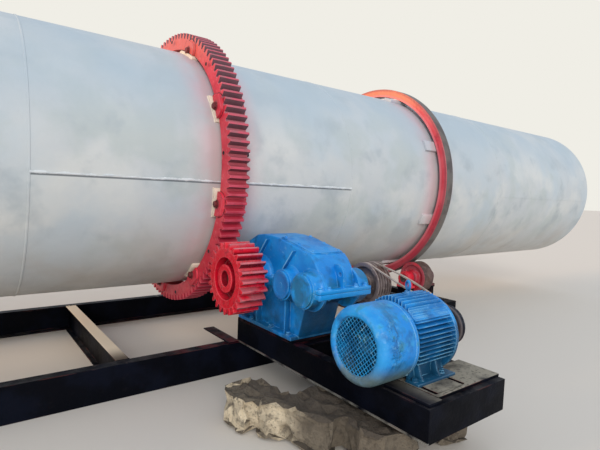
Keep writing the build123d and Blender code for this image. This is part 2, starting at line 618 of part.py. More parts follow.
def build_motor():
    x0, x1 = MOTOR_X
    span = (x0 + 4, x1 - 4)
    body = rod(MOTOR_R, MOTOR_X, MOTOR_Y, MOTOR_Z)
    body += rod(FAN_R - FAN_WALL, (x0 - FAN_SEAT, x0 + 4), MOTOR_Y, MOTOR_Z)
    half = FIN_T / 2
    fins = []
    for index in range(int((SIDE_FINS[1] - SIDE_FINS[0]) / FIN_PITCH) + 1):
        up = MOTOR_Z + SIDE_FINS[0] + FIN_PITCH * index
        fins.append(block(span, (MOTOR_Y - FIN_SIDE, MOTOR_Y + FIN_SIDE), (up - half, up + half)))
    for index in range(-TOP_FINS, TOP_FINS + 1):
        across = MOTOR_Y + FIN_PITCH * index
        fins.append(block(span, (across - half, across + half), (MOTOR_Z, MOTOR_Z + FIN_TOP)))
    envelope = rod(FIN_ROUND, span, MOTOR_Y, MOTOR_Z)
    body += fins[0].fuse(*fins[1:]) & envelope
    for hand in (-1, 1):
        edge = MOTOR_Y + hand * FOOT_HALF
        inner = MOTOR_Y + hand * (FOOT_HALF - FOOT_WIDTH)
        foot = block(FOOT_X, sorted((edge, inner)), (MOTOR_SEAT, MOTOR_SEAT + 20))
        web = inner + hand * 12
        foot += block((FOOT_X[0] + 20, x1), sorted((inner, web)), (MOTOR_SEAT, MOTOR_Z - 110))
        for x in (FOOT_X[0] + 70, FOOT_X[1] - 130):
            cheek = [(inner, MOTOR_SEAT), (edge - hand * 25, MOTOR_SEAT + 20)]
            cheek += [(edge - hand * 70, MOTOR_Z - 110), (inner, MOTOR_Z - 110)]
            foot += along_x(cheek, (x, x + 16))
        for hole in FOOT_HOLES:
            middle = edge - hand * FOOT_WIDTH / 2
            foot -= Pos(FOOT_X[0] + hole, middle, MOTOR_SEAT) * Cylinder(9.5, 60)
        body += foot
    eye_x = x0 + EYE_X
    seat = MOTOR_Z + FIN_TOP + 3
    body += block((eye_x - 26, eye_x + 26), (MOTOR_Y - 26, MOTOR_Y + 26), (MOTOR_Z + MOTOR_R - 8, seat))
    save("motor_body", body)
    f0, f1 = FAN_X
    inner = FAN_R - FAN_WALL
    rounded = []
    for index in range(5):
        angle = math.radians(22.5 * index)
        rounded.append((f0 + FAN_ROUND * (1 - math.sin(angle)), FAN_R - FAN_ROUND * (1 - math.cos(angle))))
    section = [(f0 + 10, MESH_R), (f0 + 4, MESH_R + 8), *reversed(rounded), (f1, FAN_R), (f1, inner)]
    section += [(f0 + FAN_ROUND, inner), (f0 + 14, inner - 10), (f0 + 4, inner - FAN_ROUND)]
    section += [(f0 + 7, MESH_R + 8), (f0 + 13, MESH_R)]
    cover = turned(section, MOTOR_Y, MOTOR_Z)
    bars = []
    for index in range(-4, 5):
        y = index * MESH_PITCH
        reach = math.sqrt((MESH_R + 2) ** 2 - y ** 2)
        thin = (MOTOR_Y + y - 1.5, MOTOR_Y + y + 1.5)
        bar = block((f0 + 10, f0 + 13), thin, (MOTOR_Z - reach, MOTOR_Z + reach))
        bars.append(around(bar, 45, MOTOR_Y, MOTOR_Z))
        bars.append(around(bar, -45, MOTOR_Y, MOTOR_Z))
    mesh = bars[0].fuse(*bars[1:])
    save("fan_cover", cover + mesh)
    bore = MOTOR_SHAFT_R + RUNNING
    end = x1 + SHIELD_T
    section = [(x1, bore), (x1, SHIELD_R), (x1 + 16, SHIELD_R - 2), (x1 + 24, SHIELD_R - 64)]
    save("motor_end_shield", turned([*section, (end, 96), (end, bore)], MOTOR_Y, MOTOR_Z))
    save("motor_shaft", rod(MOTOR_SHAFT_R, (x1 + 1, PULLEY_X[1] + 8), MOTOR_Y, MOTOR_Z))
    save("motor_pulley", pulley(SMALL_PULLEY_R, MOTOR_SHAFT_R, 60, MOTOR_Y, MOTOR_Z))
    eye = Pos(eye_x, MOTOR_Y, seat) * extrude(Circle(20), 14)
    eye += Pos(eye_x, MOTOR_Y, seat + 12 + EYE_R) * Rot(0, 90, 0) * Torus(EYE_R, 9)
    save("lifting_eye", eye)


build_shell()
build_flights()
build_girth_gear()
build_tyres()
build_pinion()
build_rollers()
build_main_frame()
build_drive_frame()
build_reducer()
build_belts()
build_motor()
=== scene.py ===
"""Rotary drum dryer: the finish of its drum, gear, rings, rollers, frames and drive."""

import json
import math

import bmesh
import bpy
from mathutils import Matrix, Vector, noise


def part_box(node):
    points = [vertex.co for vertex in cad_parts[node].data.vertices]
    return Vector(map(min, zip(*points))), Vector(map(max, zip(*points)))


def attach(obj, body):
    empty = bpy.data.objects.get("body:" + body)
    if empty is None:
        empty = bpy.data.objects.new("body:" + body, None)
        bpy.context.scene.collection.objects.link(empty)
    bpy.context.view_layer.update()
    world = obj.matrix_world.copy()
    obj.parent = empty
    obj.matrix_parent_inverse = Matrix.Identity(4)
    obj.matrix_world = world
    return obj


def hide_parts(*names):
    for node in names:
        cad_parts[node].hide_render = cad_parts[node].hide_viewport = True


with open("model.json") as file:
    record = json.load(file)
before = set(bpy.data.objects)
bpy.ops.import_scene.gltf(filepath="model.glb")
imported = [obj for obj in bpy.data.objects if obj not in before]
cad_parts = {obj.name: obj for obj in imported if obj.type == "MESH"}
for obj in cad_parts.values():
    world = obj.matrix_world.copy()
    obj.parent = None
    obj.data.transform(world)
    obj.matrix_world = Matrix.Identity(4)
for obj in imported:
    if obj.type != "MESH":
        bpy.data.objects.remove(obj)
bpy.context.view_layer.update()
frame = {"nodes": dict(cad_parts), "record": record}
nodes = frame["nodes"]


# Places and sizes taken from the frame, in metres, and turns in degrees


def centre(node):
    """The middle of a node's box."""
    low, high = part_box(node)
    return (low + high) / 2


def radius_of(node):
    """Half the height of a round node."""
    low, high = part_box(node)
    return (high.z - low.z) / 2


DRUM = centre("drum_shell")
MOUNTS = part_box("gear_mounts")
MOUNT_R = (MOUNTS[1].z - MOUNTS[0].z) / 2
MOUNT_TURNS = [65 - 40 * index for index in range(9)]
SPLIT_TURNS = (23.4, 203.4)
DRUM_R = MOUNT_R - 0.03
GEAR = centre("girth_gear")
GEAR_TIP = radius_of("girth_gear")
MODULE = 0.022
TOOTH_DEPTH = 2.25 * MODULE
GEAR_ROOT = GEAR_TIP - TOOTH_DEPTH
SEAM_TURN = 96
SEAM_X = (GEAR.x - 1.400, GEAR.x + 1.375)
SEAM_OUT = 0.001
COURSE = SEAM_X[1] - SEAM_X[0]
JOINTS = [round(SEAM_X[0] + COURSE * step, 3) for step in range(-3, 3)]
RING = centre("riding_ring_right")
RING_R = radius_of("riding_ring_right")
PINION = centre("pinion")
PINION_TEETH = 24
PINION_TIP = radius_of("pinion")
PINION_ROOT = PINION_TIP - TOOTH_DEPTH
BIG_PULLEY = centre("input_pulley")
SMALL_PULLEY = centre("motor_pulley")
GROOVES = 5
GROOVE_PITCH = 0.0275
CROSS_PITCH = 2.185
CROSS_PLACES = (-CROSS_PITCH, 0.0, CROSS_PITCH)
CROSS_HALF = 0.05
NEAR_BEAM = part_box("main_beam_near")
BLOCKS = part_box("support_blocks")
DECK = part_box("drive_plates")
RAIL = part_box("drive_frame")

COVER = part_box("reducer_cover")
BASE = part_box("reducer_base")
SPLIT_Z = COVER[0].z
BOSS_PAST = 0.012
FLANGE_X = (COVER[0].x + BOSS_PAST, COVER[1].x + 0.010)
FLANGE_OUT = 0.073
WALL_X = (COVER[0].x + BOSS_PAST + FLANGE_OUT, COVER[1].x - BOSS_PAST - FLANGE_OUT)
WALL_Y = (COVER[0].y + FLANGE_OUT, COVER[1].y - FLANGE_OUT)
WALL_AT = {-1: WALL_X[0], 1: WALL_X[1]}
BOSS_AT = {-1: FLANGE_X[0] - BOSS_PAST, 1: FLANGE_X[1] + BOSS_PAST}
MIDDLE_Y = BIG_PULLEY.y + 0.25
BOSSES = ((PINION.y, 0.150), (MIDDLE_Y, 0.118), (BIG_PULLEY.y, 0.131))

MOTOR = centre("fan_cover")
MOTOR_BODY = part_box("motor_body")
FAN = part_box("fan_cover")
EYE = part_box("lifting_eye")
BODY_X = (FAN[1].x, MOTOR_BODY[1].x - 0.005)
FAN_R = radius_of("fan_cover")
SEAT_Z = MOTOR_BODY[0].z
CORE_R = 0.186
END_R = 0.245
GRILLE_R = 0.166
HOOD_DEPTH = 0.060
HOOD_FALL = 0.048
FIN_SIDE = (MOTOR_BODY[1].y - MOTOR_BODY[0].y) / 2
FIN_PITCH = 0.026
EYE_TURN = 28


# Colours and finishes


def shade(red, green, blue):
    """A linear colour from screen values."""
    values = []
    for value in (red, green, blue):
        value /= 255
        values.append(value / 12.92 if value <= 0.04045 else ((value + 0.055) / 1.055) ** 2.4)
    return (*values, 1.0)


class Coat:
    """A finish laid in layers over a ground colour. Its colours are screen values."""

    def __init__(self, name, ground, rough, metal=0.0):
        self.material = bpy.data.materials.new(name)
        self.material.use_nodes = True
        self.tree = self.material.node_tree
        self.shader = self.tree.nodes["Principled BSDF"]
        self.ground = shade(*ground)
        self.shader.inputs["Metallic"].default_value = metal
        self.shader.inputs["Base Color"].default_value = self.ground
        self.shader.inputs["Roughness"].default_value = rough
        self.material.diffuse_color = self.ground
        self.source = self.tree.nodes.new("ShaderNodeTexCoord")
        self.split = {}
        self.colour = None
        self.rough = rough
        self.roughness = None
        self.heights = None

    def node(self, kind, **settings):
        """A new node of the material with some of its settings."""
        made = self.tree.nodes.new(kind)
        for key, value in settings.items():
            setattr(made, key, value)
        return made

    def link(self, source, target):
        """Joins two sockets."""
        self.tree.links.new(source, target)

    def maths(self, operation, *values):
        """The outcome of a sum on numbers and sockets."""
        made = self.node("ShaderNodeMath", operation=operation)
        for index, value in enumerate(values):
            if isinstance(value, (int, float)):
                made.inputs[index].default_value = value
            else:
                self.link(value, made.inputs[index])
        return made.outputs[0]

    def times(self, *values):
        """The product of some masks."""
        result = values[0]
        for value in values[1:]:
            result = self.maths("MULTIPLY", result, value)
        return result

    def other(self, mask):
        """1 where the mask is 0."""
        return self.maths("SUBTRACT", 1.0, mask)

    def fade(self, value, low, high):
        """0 at low, 1 at high, smooth between."""
        made = self.node("ShaderNodeMapRange", interpolation_type="SMOOTHSTEP")
        self.link(value, made.inputs["Value"])
        made.inputs["From Min"].default_value = low
        made.inputs["From Max"].default_value = high
        return made.outputs["Result"]

    def parts(self, vector):
        """The x, y and z of the object's own place or normal."""
        if vector not in self.split:
            split = self.node("ShaderNodeSeparateXYZ")
            self.link(self.source.outputs[vector], split.inputs[0])
            self.split[vector] = dict(zip("xyz", split.outputs))
        return self.split[vector]

    def along(self, axis):
        """One of the object's own coordinates, in metres."""
        return self.parts("Object")[axis]

    def facing(self, axis):
        """How far the surface looks along an axis, from -1 to 1."""
        return self.parts("Normal")[axis]

    def ramp(self, axis, low, high):
        """0 at one place along an axis, 1 at another."""
        return self.fade(self.along(axis), low, high)

    def looking(self, axis, low, high):
        """0 on faces that look one way along an axis, 1 on those that look another."""
        return self.fade(self.facing(axis), low, high)

    def near(self, axis, place, reach, soft):
        """1 within reach of a place along an axis, fading out over soft."""
        away = self.maths("ABSOLUTE", self.maths("SUBTRACT", self.along(axis), place))
        return self.fade(away, reach + soft, reach)

    def side(self, low=0.5, high=0.8):
        """1 on faces square to X."""
        return self.fade(self.maths("ABSOLUTE", self.facing("x")), low, high)

    def from_axis(self, y, z):
        """How far a spot is from an axis along X, sideways and up."""
        return self.maths("SUBTRACT", self.along("y"), y), self.maths("SUBTRACT", self.along("z"), z)

    def spread(self, y, z):
        """Distance from an axis along X."""
        across, up = self.from_axis(y, z)
        square = self.maths("MULTIPLY_ADD", across, across, self.maths("MULTIPLY", up, up))
        return self.maths("SQRT", square)

    def uphill(self, y, z):
        """1 on what looks up along a wheel's near side, -1 on what looks down there."""
        across, up = self.from_axis(y, z)
        first = self.maths("MULTIPLY", self.facing("y"), up)
        second = self.maths("MULTIPLY", self.facing("z"), across)
        return self.maths("DIVIDE", self.maths("SUBTRACT", first, second), self.spread(y, z))

    def boss_away(self, y, z, turns, reach):
        """Distance from the nearest of some bosses set evenly round an axis along X, seen along X."""
        across = self.maths("SUBTRACT", y, self.along("y"))
        up = self.maths("SUBTRACT", self.along("z"), z)
        angle = self.maths("SUBTRACT", self.maths("ARCTAN2", across, up), math.radians(turns[0]))
        half = math.pi / len(turns)
        turned = self.maths("WRAP", angle, half, -half)
        out = self.spread(y, z)
        product = self.maths("MULTIPLY", self.times(out, self.maths("COSINE", turned)), 2 * reach)
        square = self.maths("SUBTRACT", self.maths("MULTIPLY_ADD", out, out, reach * reach), product)
        return self.maths("SQRT", self.maths("MAXIMUM", square, 0.0))

    def cloud(self, scale, low, high, detail, seed=0.0):
        """Blotches of about 1/scale metres, rising from 0 at low to 1 at high."""
        place = self.node("ShaderNodeMapping")
        self.link(self.source.outputs["Object"], place.inputs["Vector"])
        place.inputs["Location"].default_value = (seed, seed * 0.7, seed * 1.3)
        made = self.node("ShaderNodeTexNoise")
        self.link(place.outputs[0], made.inputs["Vector"])
        made.inputs["Scale"].default_value = scale
        made.inputs["Detail"].default_value = detail
        made.inputs["Roughness"].default_value = 0.55
        return self.fade(made.outputs["Fac"], low, high)

    def edges(self, width, low=0.05, high=0.45):
        """Where the surface turns sharply, as paint rubs off; its pale layers are also a painted highlight
        along the edges.
        """
        made = self.node("ShaderNodeBevel")
        made.samples = 4
        made.inputs["Radius"].default_value = width
        plain = self.node("ShaderNodeNewGeometry")
        bend = self.node("ShaderNodeVectorMath", operation="DISTANCE")
        self.link(made.outputs[0], bend.inputs[0])
        self.link(plain.outputs["Normal"], bend.inputs[1])
        return self.fade(bend.outputs["Value"], low, high)

    def layer(self, mask, colour, amount):
        """Another colour where the mask is 1."""
        mix = self.node("ShaderNodeMix", data_type="RGBA")
        self.link(self.maths("MULTIPLY", mask, amount), mix.inputs["Factor"])
        if self.colour is None:
            mix.inputs["A"].default_value = self.ground
        else:
            self.link(self.colour, mix.inputs["A"])
        mix.inputs["B"].default_value = shade(*colour)
        self.colour = mix.outputs["Result"]

    def blotches(self, *kinds, within=None):
        """Layers of blotches inside a mask, each as its cloud, its colour and its amount."""
        for pattern, colour, amount in kinds:
            mask = self.cloud(*pattern)
            self.layer(mask if within is None else self.times(within, mask), colour, amount)

    def polish(self, mask, value):
        """Another roughness where the mask is 1."""
        mix = self.node("ShaderNodeMix", data_type="FLOAT")
        self.link(mask, mix.inputs["Factor"])
        if self.roughness is None:
            mix.inputs["A"].default_value = self.rough
        else:
            self.link(self.roughness, mix.inputs["A"])
        mix.inputs["B"].default_value = value
        self.roughness = mix.outputs["Result"]

    def rise(self, mask, amount):
        """The surface stands up by amount metres where the mask is 1."""
        height = self.maths("MULTIPLY", mask, amount)
        self.heights = height if self.heights is None else self.maths("ADD", self.heights, height)

    def grain(self, scale, detail, seed, height, low=0.3):
        """Fine dents of about 1/scale metres."""
        self.rise(self.cloud(scale, low, 0.8, detail, seed), height)

    def done(self):
        """The finished material."""
        if self.colour is not None:
            self.link(self.colour, self.shader.inputs["Base Color"])
        if self.roughness is not None:
            self.link(self.roughness, self.shader.inputs["Roughness"])
        if self.heights is not None:
            bump = self.node("ShaderNodeBump")
            bump.inputs["Distance"].default_value = 1.0
            bump.inputs["Strength"].default_value = 1.0
            self.link(self.heights, bump.inputs["Height"])
            self.link(bump.outputs[0], self.shader.inputs["Normal"])
        return self.material


def sprayed_drum():
    """Thin pale spray over steel: cool and warm blotches, red overspray by the gear and the rings."""
    coat = Coat("sprayed_drum", (191, 197, 201), 0.50)
    coat.blotches(((0.55, 0.40, 0.62, 3), (202, 205, 205), 0.9),
                  ((0.95, 0.46, 0.64, 4, 3.1), (182, 195, 204), 0.75),
                  ((1.5, 0.47, 0.65, 4, 33.0), (212, 213, 210), 0.58),
                  ((1.9, 0.48, 0.64, 5, 7.7), (176, 186, 185), 0.60),
                  ((2.6, 0.51, 0.69, 4, 12.0), (158, 169, 176), 0.58))
    # A cooler, bluish tint over the top: a painted reflection of the sky.
    high = coat.ramp("z", DRUM.z + 0.10, DRUM.z + 0.75)
    coat.layer(high, (180, 193, 203), 0.45)
    coat.blotches(((0.7, 0.36, 0.56, 3, 17.0), (168, 186, 199), 0.7), within=high)
    # Lighter and warmer towards the bottom, painted light, with darker warm blotches there.
    low = coat.ramp("z", DRUM.z - 0.30, DRUM.z - 1.05)
    coat.layer(low, (204, 200, 194), 0.6)
    coat.blotches(((1.3, 0.46, 0.64, 5, 21.0), (180, 170, 158), 0.55), within=low)
    for place, reach in ((GEAR.x, 0.13), (RING.x, 0.10), (-RING.x, 0.10)):
        overspray = coat.near("x", place, reach, 0.24)
        coat.blotches(((2.4, 0.34, 0.60, 4, 5.0 + place), (212, 162, 171), 0.45), within=overspray)
        coat.layer(coat.near("x", place, reach, 0.08), (172, 160, 158), 0.40)
    # A dark line on the drum just below the long weld: a painted shadow of the bead.
    across = coat.maths("SUBTRACT", 0.0, coat.along("y"))
    turned = coat.maths("ARCTAN2", across, coat.maths("SUBTRACT", coat.along("z"), DRUM.z))
    seam_shadow_turn = math.radians(SEAM_TURN) + 0.0135 / DRUM_R
    away = coat.maths("ABSOLUTE", coat.maths("SUBTRACT", turned, seam_shadow_turn))
    line = coat.fade(away, 0.0085 / DRUM_R, 0.0035 / DRUM_R)
    coat.layer(coat.times(line, coat.near("x", sum(SEAM_X) / 2, COURSE / 2 - 0.0125, 0.01)),
               (84, 92, 100), 0.8)
    coat.polish(coat.cloud(1.6, 0.40, 0.65, 4, 2.0), 0.60)
    coat.polish(coat.cloud(5.0, 0.50, 0.70, 4, 9.0), 0.42)
    coat.grain(0.9, 2, 4.0, 0.012, 0.2)
    coat.grain(30, 4, 1.0, 0.0006)
    return coat.done()


def brushed_red(name, rough, ground, light, dark, scales):
    """A red coat with light and dark blotches of two sizes."""
    coat = Coat(name, ground, rough)
    coat.blotches(((scales[0], 0.40, 0.64, 4, 1.0), light, 0.9),
                  ((scales[1], 0.54, 0.72, 5, 4.0), dark, 0.7))
    return coat


def gloss_red(name="gloss_red", dusty=0.5, painted_shade_past=None, chalky=False):
    """Bright red gloss with pale specks, its edges rubbed pale with a painted highlight, chalky if asked, and
    painted shade past a place if one is given.
    """
    coat = brushed_red(name, 0.28, (204, 26, 48), (224, 44, 62), (164, 16, 38), (5, 16))
    coat.blotches(((42, 0.60, 0.74, 5, 8.0), (232, 104, 112), dusty))
    if chalky:
        coat.blotches(((9, 0.36, 0.58, 5, 21.0), (150, 88, 100), 0.66))
    # Pale edges: rubbed paint and a painted highlight.
    coat.layer(coat.edges(0.004), (240, 138, 146), 0.45)
    # Near-black past the given place: painted shade.
    if painted_shade_past is not None:
        coat.layer(coat.ramp("x", painted_shade_past, painted_shade_past + 0.05), (34, 26, 30), 0.9)
    coat.polish(coat.cloud(22, 0.45, 0.65, 4, 3.0), 0.44)
    coat.grain(26, 3, 6.0, 0.0016)
    coat.grain(110, 3, 2.0, 0.0004)
    return coat.done()


def gear_red():
    """The gear's red: clean sides, dusty lands and flanks, a painted warm light on the top, painted shade on
    the down-facing flanks and round the bosses, darker red at each boss's middle.
    """
    coat = brushed_red("gear_red", 0.34, (204, 40, 62), (220, 66, 82), (168, 26, 48), (4, 12))
    out = coat.spread(0.0, DRUM.z)
    face = coat.side()
    rim = coat.other(face)
    tooth = coat.times(rim, coat.fade(out, GEAR_ROOT - 0.008, GEAR_ROOT + 0.002))
    upper = coat.ramp("z", DRUM.z - 0.35, DRUM.z + 0.45)
    # A warm, lighter tint on the top of the gear: painted sunlight.
    coat.layer(coat.ramp("z", DRUM.z + 0.72, DRUM.z + 1.12), (214, 112, 92), 0.60)
    coat.layer(tooth, (158, 34, 58), 0.6)
    coat.layer(coat.times(tooth, upper), (160, 112, 122), 0.78)
    # Darker on the flanks that look down, greyer on the upper teeth: painted shade.
    down = coat.fade(coat.uphill(0.0, DRUM.z), -0.30, -0.75)
    coat.layer(coat.times(tooth, down), (84, 42, 50), 0.80)
    coat.layer(coat.times(tooth, down, upper), (112, 86, 96), 0.78)
    land = coat.times(rim, coat.fade(out, GEAR_TIP - 0.004, GEAR_TIP - 0.001))
    coat.blotches(((9, 0.34, 0.56, 4, 6.0), (208, 76, 100), 0.75), within=land)
    # Pale edges: rubbed paint and a painted highlight.
    coat.layer(coat.edges(0.004), (232, 128, 138), 0.55)
    # The dark ring round each boss is painted shade at the boss's edge, not grease; the middle of each boss,
    # round its bolt, is darker red.
    away = coat.boss_away(0.0, DRUM.z, MOUNT_TURNS, MOUNT_R + 0.021)
    grease = coat.times(face, coat.fade(away, 0.096, 0.100), coat.fade(away, 0.111, 0.105))
    coat.layer(grease, (58, 16, 24), 0.95)
    coat.layer(coat.times(face, coat.fade(away, 0.052, 0.030)), (112, 34, 38), 0.75)
    coat.blotches(((34, 0.58, 0.72, 5, 8.0), (236, 128, 132), 0.5), within=face)
    coat.polish(coat.cloud(22, 0.45, 0.65, 4, 3.0), 0.46)
    coat.polish(tooth, 0.55)
    coat.grain(26, 3, 6.0, 0.0016)
    return coat.done()


def pinion_red():
    """The pinion's thick gloss: dusty upper flanks, painted shade on the lower ones and in the recess round
    the hub.
    """
    coat = Coat("pinion_red", (222, 14, 42), 0.22)
    coat.blotches(((7, 0.40, 0.64, 4, 1.0), (228, 36, 58), 0.9),
                  ((24, 0.54, 0.70, 5, 4.0), (158, 12, 34), 0.8))
    out = coat.spread(PINION.y, PINION.z)
    rim = coat.other(coat.side())
    tooth = coat.times(rim, coat.fade(out, PINION_ROOT - 0.004, PINION_ROOT + 0.006))
    upper = coat.times(tooth, coat.looking("z", -0.05, 0.40),
                       coat.ramp("z", PINION.z - 0.26, PINION.z - 0.10))
    coat.blotches(((9, 0.30, 0.52, 4, 6.0), (172, 104, 112), 0.74), within=upper)
    # Darker on the flanks that look down: painted shade.
    coat.layer(coat.times(tooth, coat.looking("z", -0.10, -0.50)), (66, 20, 32), 0.88)
    land = coat.times(rim, coat.fade(out, PINION_TIP - 0.004, PINION_TIP - 0.001))
    coat.blotches(((10, 0.34, 0.56, 4, 12.0), (206, 124, 132), 0.6), within=land)
    # Dark red in the recess round the hub: painted shade, with some lighter blotches.
    wall = coat.fade(out, PINION_ROOT - 0.066, PINION_ROOT - 0.076)
    recess = coat.times(wall, coat.near("x", PINION.x, 0.099, 0.008))
    coat.layer(recess, (104, 8, 24), 0.80)
    coat.blotches(((12, 0.50, 0.64, 4, 9.0), (160, 26, 44), 0.6), within=recess)
    # Pale edges: rubbed paint and a painted highlight.
    coat.layer(coat.edges(0.004), (246, 150, 158), 0.5)
    coat.polish(coat.cloud(22, 0.50, 0.70, 4, 3.0), 0.40)
    coat.grain(26, 3, 6.0, 0.0020)
    return coat.done()


def ring_red():
    """A riding ring: red sides with a painted warm light on the top, painted shade in the bore and a painted
    highlight on the inner edge of each side, and a bare worn tread.
    """
    coat = brushed_red("ring_red", 0.34, (206, 56, 72), (222, 88, 98), (172, 40, 58), (3, 11))
    # A warm, lighter tint on the top: painted sunlight. Below, the red turns darker towards the bottom.
    coat.layer(coat.ramp("z", DRUM.z + 0.80, DRUM.z + 1.12), (250, 150, 108), 0.70)
    coat.layer(coat.ramp("z", DRUM.z - 0.20, DRUM.z - 0.90), (170, 48, 70), 0.55)
    out = coat.spread(0.0, DRUM.z)
    face = coat.side(0.4, 0.7)
    rim = coat.other(face)
    tread = coat.times(rim, coat.fade(out, RING_R - 0.014, RING_R - 0.005))
    coat.layer(tread, (98, 92, 88), 1.0)
    coat.blotches(((6, 0.45, 0.62, 5, 8.0), (72, 62, 62), 0.8), within=tread)
    band = coat.times(tread, coat.near("x", 0.0, RING.x - 0.012, 0.004))
    coat.blotches(((5, 0.5, 0.6, 4, 2.0), (128, 88, 86), 0.5), within=band)
    # Dark red on the bore, in the gap over the drum: painted shade.
    coat.layer(coat.times(rim, coat.fade(out, RING_R - 0.060, RING_R - 0.080)), (120, 56, 66), 0.9)
    outer = coat.times(face, coat.fade(out, RING_R - 0.045, RING_R - 0.012))
    coat.blotches(((3, 0.30, 0.50, 4, 9.0), (124, 58, 70), 0.55), within=outer)
    # A pale band along the inner edge of each side: a painted highlight.
    coat.layer(coat.times(face, coat.fade(out, RING_R - 0.066, RING_R - 0.078)), (232, 132, 142), 0.55)
    # Pale edges: rubbed paint and a painted highlight.
    coat.layer(coat.edges(0.005), (238, 166, 164), 0.5)
    coat.polish(tread, 0.42)
    coat.grain(26, 3, 6.0, 0.0012)
    return coat.done()


def plain_steel(name, ground, dark, light, rust, rough, metal, scale=9):
    """Bare or thinly painted metal: dark stains of about 1/scale metres, light specks and some rust."""
    coat = Coat(name, ground, rough, metal)
    coat.blotches(((scale, 0.42, 0.62, 5, 1.0), dark, 0.8),
                  ((scale * 3.3, 0.54, 0.72, 5, 5.0), light, 0.6))
    if rust:
        coat.blotches(((scale * 0.8, 0.52, 0.70, 6, 9.0), (112, 62, 40), rust))
    coat.polish(coat.cloud(scale * 2.0, 0.4, 0.65, 4, 3.0), rough + 0.2)
    coat.grain(scale * 9, 3, 2.0, 0.0005)
    return coat.done()


def frame_black():
    """Near-black paint with a blue sheen, dust on what faces up, rust and red overspray near the pinion."""
    coat = Coat("frame_black", (2, 4, 12), 0.50)
    coat.shader.inputs["Specular IOR Level"].default_value = 0.08
    coat.blotches(((3.5, 0.44, 0.64, 5, 1.0), (9, 14, 28), 0.8),
                  ((9, 0.60, 0.78, 6, 4.0), (30, 26, 30), 0.3))
    top = coat.looking("z", 0.6, 0.9)
    coat.blotches(((5, 0.40, 0.62, 6, 14.0), (64, 62, 64), 0.6),
                  ((14, 0.56, 0.70, 6, 17.0), (84, 76, 72), 0.40), within=top)
    web = NEAR_BEAM[1].y
    cross_top = coat.times(top, coat.near("x", CROSS_PITCH, CROSS_HALF, 0.02),
                           coat.near("z", NEAR_BEAM[1].z, 0.02, 0.01), coat.near("y", 0.0, -web, 0.002))
    coat.layer(cross_top, (96, 84, 72), 0.8)
    # The pale top of the middle cross member is worn paint and a painted reflection of the sky.
    worn = coat.times(cross_top, coat.ramp("y", web + 0.006, web + 0.336))
    coat.blotches(((2.2, 0.10, 0.30, 3, 2.0), (238, 224, 200), 0.95), within=worn)
    deck = coat.times(top, coat.ramp("x", RAIL[0].x + 0.016, RAIL[0].x + 0.216),
                      coat.ramp("y", DECK[0].y + 0.748, DECK[0].y + 0.348),
                      coat.near("z", DECK[1].z, 0.006, 0.004))
    coat.blotches(((6, 0.24, 0.56, 6, 23.0), (158, 152, 138), 0.9),
                  ((40, 0.54, 0.62, 6, 43.0), (70, 66, 62), 0.6), within=deck)
    # A pale line along the drive rail's lower flange: dust and a painted highlight.
    lip = coat.times(coat.near("x", RAIL[0].x, 0.008, 0.003), coat.near("z", RAIL[0].z + 0.006, 0.006, 0.002))
    coat.blotches(((7, 0.36, 0.56, 5, 27.0), (132, 130, 124), 0.75), within=lip)
    coat.blotches(((4, 0.50, 0.62, 5, 6.0), (126, 70, 64), 0.5), within=coat.edges(0.005, 0.05, 0.40))
    red = coat.times(top, coat.near("x", PINION.x, 0.20, 0.30), coat.near("y", PINION.y, 0.30, 0.60))
    coat.blotches(((7, 0.44, 0.62, 5, 19.0), (120, 36, 42), 0.5), within=red)
    coat.polish(coat.cloud(6, 0.4, 0.65, 4, 3.0), 0.6)
    coat.grain(60, 3, 6.0, 0.0006)
    return coat.done()


def blue_coat(name, ground):
    """A blue coat with light and dark blotches, darker on what looks down as painted shade."""
    coat = Coat(name, ground, 0.36)
    coat.blotches(((4, 0.40, 0.64, 4, 1.0), (26, 152, 228), 0.9),
                  ((9, 0.52, 0.72, 5, 5.0), (4, 96, 164), 0.8))
    # Darker on what looks down: painted shade.
    coat.layer(coat.looking("z", -0.15, -0.75), (14, 66, 104), 0.7)
    coat.polish(coat.cloud(14, 0.45, 0.65, 4, 3.0), 0.55)
    return coat


